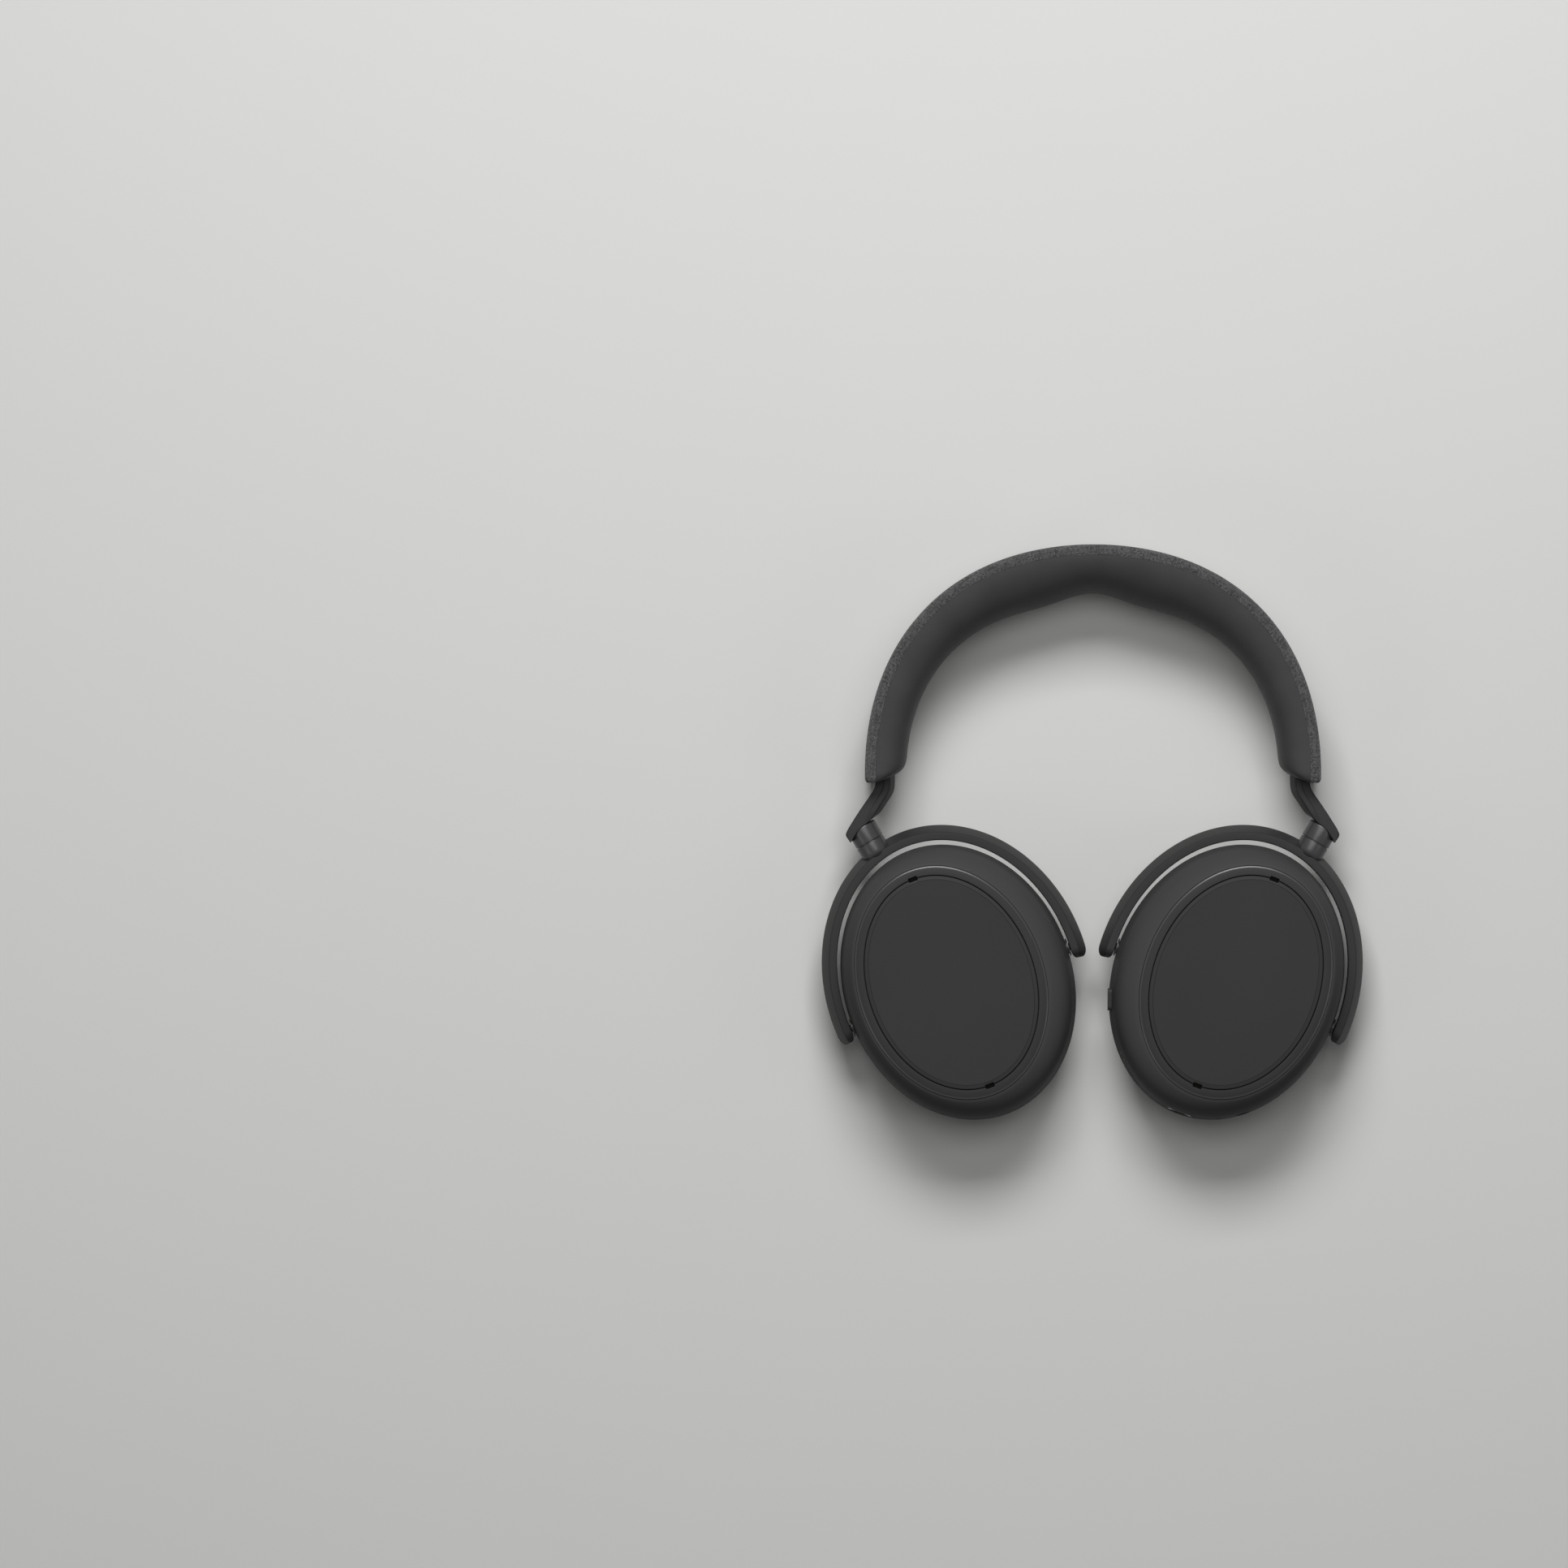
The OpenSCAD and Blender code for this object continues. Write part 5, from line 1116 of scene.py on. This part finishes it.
def cushion_surface(sizes, side):
    """Ear cushion: a rounded section carried round the foot's ellipse, between the ear opening and the
    cup. It is pulled in at its back and pressed flat where it lies. A seam runs round its outer side as
    a narrow groove, and the cover puckers a little on both sides of it."""
    seam, seam_spread, seam_depth = 0.62, 0.03, 0.45 * MM  # turn round the section, in radians
    puckers, pucker_spread, pucker_depth = 61, 0.3, 0.14 * MM
    drifts, drift = 5, 1.7  # the puckers' spacing drifts this often, by this turn
    side_power, face_power = 0.72, 0.68  # below 1: the section is squarer than an ellipse
    spare = 0.5 * MM  # pressed flat above and below
    f = dense_turns(150, [(seam, 3 * seam_spread)], closer=9)
    turns = np.linspace(0, 2 * math.pi, 260, endpoint=False)[:, None]
    half_height = (CUSHION_TOP_Z - GROUND_Z) / 2
    sin_f, cos_f = np.sin(f), np.cos(f)
    w = 0.5 + 0.5 * np.sign(cos_f) * np.abs(cos_f) ** side_power
    rise = (half_height + spare) * np.sign(sin_f) * np.abs(sin_f) ** face_power
    z = np.clip(GROUND_Z + half_height + rise, GROUND_Z, CUSHION_TOP_Z)
    from_seam = np.minimum(np.abs(f - seam), 2 * math.pi - np.abs(f - seam))
    wave = np.sin(puckers * turns + drift * np.sin(drifts * turns))
    pucker = pucker_depth * wave * np.exp(-(from_seam / pucker_spread) ** 2)
    pucker = pucker - seam_depth * np.exp(-(from_seam / seam_spread) ** 2)
    ear_a, ear_b = sizes.ear_length / 2, sizes.ear_breadth / 2
    cushion_a = sizes.cup_length / 2 - sizes.cushion_inset
    cushion_b = sizes.cup_breadth / 2 - sizes.cushion_inset
    x = -sizes.foot_inset + (ear_b + (cushion_b - ear_b) * w + pucker) * np.cos(turns)
    y = -sizes.foot_drop + (ear_a + (cushion_a - ear_a) * w + pucker) * np.sin(turns)
    points = np.stack(np.broadcast_arrays(x, y, z), -1)
    return Surface().add(on_cup(points, side), ring_rows=True)


# ---------------------------------------------------------------- stage

FLOOR_HALF = 4.0  # half the floor's side, in metres
FLOOR_BOUNCE = 0.1  # share of the floor's light that reaches the headset
LAMP_DISTANCE = 1.5  # from the headset, in metres
LAMP_HEIGHT = 0.5  # short side of a lamp, in metres

# Name, direction round the headset and height in degrees, width in metres, and power over the light level
SOFT_BOXES = [("top_soft_box", 94, 52, 0.8, 1.05), ("right_soft_box", -12, 40, 0.4, 0.05),
              ("left_soft_box", 210, 40, 0.4, 0.05), ("overhead_soft_box", 90, 80, 1.0, 0.3)]


def seen_directly(tree):
    """Socket that is 1 for what the camera, a gloss or a clear part sees, and 0 for light thrown on."""
    ray = add_node(tree, "ShaderNodeLightPath").outputs
    direct = add_node(tree, "ShaderNodeMath", {0: ray["Is Camera Ray"], 1: ray["Is Glossy Ray"]},
                      operation="MAXIMUM")
    return add_node(tree, "ShaderNodeMath", {0: direct, 1: ray["Is Transmission Ray"]},
                    operation="MAXIMUM").outputs[0]


def studio_world(stage):
    """The even light of a pale room. What is seen of it directly has its pale tone."""
    world = bpy.data.worlds.new("studio")
    world.use_nodes = True
    tree = world.node_tree
    background = tree.nodes["Background"]
    background.inputs["Color"].default_value = (1, 1, 1, 1)
    strength = add_node(tree, "ShaderNodeMapRange",
                        {"Value": seen_directly(tree), "To Min": stage.ambient, "To Max": stage.backdrop})
    tree.links.new(strength.outputs[0], background.inputs["Strength"])
    return world


def painted_floor(colours):
    """Matt painted board: even, with a faint roller mottle. What the camera, a gloss or a clear part sees
    of it is its pale tone. The light that it throws back on the headset is that of a darker board."""
    material, tree, shader = new_material("roller_painted_board", {"Roughness": 0.9,
                                                                   "Specular IOR Level": 0.2})
    place = add_node(tree, "ShaderNodeTexCoord").outputs["Object"]
    mottle = add_node(tree, "ShaderNodeTexNoise", {"Vector": place, "Scale": 1 / (40 * MM), "Detail": 3})
    paint = add_node(tree, "ShaderNodeMix",
                     {"Factor": mottle, "A": shaded(colours.floor, 0.99),
                      "B": shaded(colours.floor)}, data_type="RGBA")
    bounce = add_node(tree, "ShaderNodeMix",
                      {"Factor": seen_directly(tree), "A": shaded(colours.floor, FLOOR_BOUNCE),
                       "B": paint.outputs["Result"]}, data_type="RGBA")
    tree.links.new(bounce.outputs["Result"], shader.inputs["Base Color"])
    return material


def soft_box(name, turn, height, breadth, power):
    """A rectangular lamp a metre and a half from the headset, which it faces."""
    lamp = bpy.data.lights.new(name, "AREA")
    lamp.shape = "RECTANGLE"
    lamp.size, lamp.size_y = breadth, LAMP_HEIGHT
    lamp.energy = power
    holder = bpy.data.objects.new(name, lamp)
    bpy.context.scene.collection.objects.link(holder)
    level = LAMP_DISTANCE * math.cos(height)
    holder.location = (level * math.cos(turn), level * math.sin(turn), LAMP_DISTANCE * math.sin(height))
    holder.rotation_euler = (math.pi / 2 - height, 0, turn + math.pi / 2)


# ---------------------------------------------------------------- operators

def settings():
    """The sizes and the colours of the scene."""
    scene = bpy.context.scene
    return scene.headset_sizes, scene.headset_colours


class HEADSET_OT_band_cover(bpy.types.Operator):
    """Builds the woven cover of the band"""

    bl_idname = "headset.band_cover"
    bl_label = "Band cover"

    def execute(self, context):
        sizes, colours = settings()
        cover_surface(sizes).piece("woven_band_cover", "headband", "woven_cover",
                                   woven_cloth(colours, sizes), "band_cover", sharp=60)
        return {"FINISHED"}


class HEADSET_OT_band_pad(bpy.types.Operator):
    """Builds the padded lining of the band"""

    bl_idname = "headset.band_pad"
    bl_label = "Band pad"

    def execute(self, context):
        sizes, colours = settings()
        material = shared_material(leatherette, colours)
        pad = pad_surface(sizes).piece("band_pad", "headband", "leatherette", material, "band_cushion",
                                       sharp=60)
        return {"FINISHED"}


class HEADSET_OT_arms(bpy.types.Operator):
    """Builds both arms, each with its hub's upper ring, its slider strip and that strip's guide"""

    bl_idname = "headset.arms"
    bl_label = "Arms"

    def execute(self, context):
        sizes, colours = settings()
        satin = shared_material(satin_plastic, colours)
        steel = shared_material(brushed_steel)
        nylon = shared_material(black_acetal)
        buffed = shared_material(buffed_plastic, colours)
        for name, side in SIDES.items():
            surface = arm_surface(sizes, side)
            arm_faces = len(surface.faces)
            surface.add(on_swivel(hub_ring_upper(sizes), side))
            arm = surface.piece(f"satin_arm_{name}", f"slide_arm_{name}", "satin_plastic", satin,
                                f"arm_{name}")
            finish_faces(arm, arm_faces, None, buffed)
            strip_surface(side).piece(f"notched_strip_{name}", f"slide_arm_{name}", "steel", steel,
                                      f"slider_strip_{name}")
            guide_surface(sizes, side).piece(f"guide_sleeve_{name}", "headband", "nylon", nylon,
                                             f"slider_guide_{name}")
        return {"FINISHED"}


class HEADSET_OT_yokes(bpy.types.Operator):
    """Builds both yokes, each with the lower ring of its hub"""

    bl_idname = "headset.yokes"
    bl_label = "Yokes"

    def execute(self, context):
        sizes, colours = settings()
        satin = shared_material(satin_plastic, colours)
        buffed = shared_material(buffed_plastic, colours)
        for name, side in SIDES.items():
            surface = yoke_surface(sizes, side)
            yoke_faces = len(surface.faces)
            surface.add(on_swivel(hub_ring_lower(sizes), side))
            yoke = surface.piece(f"satin_yoke_{name}", f"cup_yoke_{name}", "satin_plastic", satin,
                                 f"yoke_{name}")
            finish_faces(yoke, yoke_faces, None, buffed)
        return {"FINISHED"}


class HEADSET_OT_cups(bpy.types.Operator):
    """Builds the housing, trim ring and outer plate of both cups"""

    bl_idname = "headset.cups"
    bl_label = "Cups"

    def execute(self, context):
        sizes, colours = settings()
        shell = shared_material(housing_plastic, colours)
        satin = shared_material(satin_plastic, colours)
        buffed = shared_material(buffed_plastic, colours)
        for name, side in SIDES.items():
            body = f"ear_cup_{name}"
            housing_surface(sizes, side).piece(f"cup_shell_{name}", body, "housing_plastic", shell,
                                               f"cup_housing_{name}")
            trim = trim_surface(sizes, side).piece(f"cup_trim_{name}", body, "satin_plastic", satin,
                                                   f"trim_ring_{name}")
            turns = len(slot_turns(sizes))
            finish_faces(trim, CHAMFER_ROW * turns, (CHAMFER_ROW + 1) * turns, buffed)
            plate_surface(sizes, side).piece(f"cup_plate_{name}", body, "satin_plastic", satin,
                                             f"outer_plate_{name}", sharp=8)
        return {"FINISHED"}


class HEADSET_OT_ear_cushions(bpy.types.Operator):
    """Builds both ear cushions"""

    bl_idname = "headset.ear_cushions"
    bl_label = "Ear cushions"

    def execute(self, context):
        sizes, colours = settings()
        material = shared_material(leatherette, colours)
        for name, side in SIDES.items():
            surface = cushion_surface(sizes, side)
            cushion = surface.piece(f"ear_pad_{name}", f"ear_cup_{name}", "leatherette", material,
                                    f"ear_cushion_{name}", sharp=60)
        return {"FINISHED"}


class HEADSET_OT_inner_parts(bpy.types.Operator):
    """Finishes the CAD parts that keep their own shape"""

    bl_idname = "headset.inner_parts"
    bl_label = "Inner parts"

    def execute(self, context):
        materials = inner_materials(context.scene.headset_colours)
        pin_steel = blackened_steel()  # for the pivot pins, which show beside the yokes' tips
        for row in frame["record"]["subparts"]:
            node = frame["nodes"][row["node"]]
            if row["material_slot"] in materials:
                pin = row["node"].startswith("pivot_pins")
                node.data.materials.clear()
                node.data.materials.append(pin_steel if pin else materials[row["material_slot"]])
        return {"FINISHED"}


class HEADSET_OT_stage(bpy.types.Operator):
    """Builds the floor, the lights and the camera"""

    bl_idname = "headset.stage"
    bl_label = "Stage"

    def execute(self, context):
        scene = context.scene
        stage = scene.headset_stage
        mesh = bpy.data.meshes.new("floor")
        corners = [(-1, -1), (1, -1), (1, 1), (-1, 1)]
        mesh.from_pydata([(x * FLOOR_HALF, y * FLOOR_HALF, 0) for x, y in corners], [], [(0, 1, 2, 3)])
        floor = bpy.data.objects.new("floor", mesh)
        scene.collection.objects.link(floor)
        mesh.materials.append(painted_floor(scene.headset_colours))
        scene.world = studio_world(stage)
        for name, turn, height, breadth, power in SOFT_BOXES:
            soft_box(name, math.radians(turn), math.radians(height), breadth, power * stage.light_level)
        lens = bpy.data.cameras.new("camera")
        lens.lens = stage.lens
        camera = bpy.data.objects.new("camera", lens)
        scene.collection.objects.link(camera)
        distance = stage.view_width * stage.lens / lens.sensor_width
        camera.location = (stage.view_x, stage.view_y, AXIS_HEIGHT + FACE_Z + distance)
        lens.clip_start, lens.clip_end = distance / 50, distance * 10
        scene.camera = camera
        scene.view_settings.view_transform = "Standard"
        return {"FINISHED"}


OPERATORS = [HEADSET_OT_band_cover, HEADSET_OT_band_pad, HEADSET_OT_arms, HEADSET_OT_yokes,
             HEADSET_OT_cups, HEADSET_OT_ear_cushions, HEADSET_OT_inner_parts, HEADSET_OT_stage]


class HEADSET_PT_finisher(bpy.types.Panel):
    """Lists the operators in the order in which they are used"""

    bl_label = "Headset"
    bl_space_type = "VIEW_3D"
    bl_region_type = "UI"
    bl_category = "Headset"

    def draw(self, context):
        for operator in OPERATORS:
            self.layout.operator(operator.bl_idname)


GROUPS = {"headset_sizes": HeadsetSizes, "headset_colours": HeadsetColours,
          "headset_stage": HeadsetStageSettings}


def register():
    """Registers the classes and gives the scene their settings."""
    for kind in [*GROUPS.values(), *OPERATORS, HEADSET_PT_finisher]:
        bpy.utils.register_class(kind)
    for name, group in GROUPS.items():
        setattr(bpy.types.Scene, name, bpy.props.PointerProperty(type=group))


def unregister():
    """Takes the settings and the classes away again."""
    for name in GROUPS:
        delattr(bpy.types.Scene, name)
    for kind in [HEADSET_PT_finisher, *OPERATORS[::-1], *list(GROUPS.values())[::-1]]:
        bpy.utils.unregister_class(kind)


def main():
    """Builds the whole headset and its stage."""
    register()
    for operator in OPERATORS:
        group, name = operator.bl_idname.split(".")
        getattr(getattr(bpy.ops, group), name)()


if __name__ == "__main__":
    main()
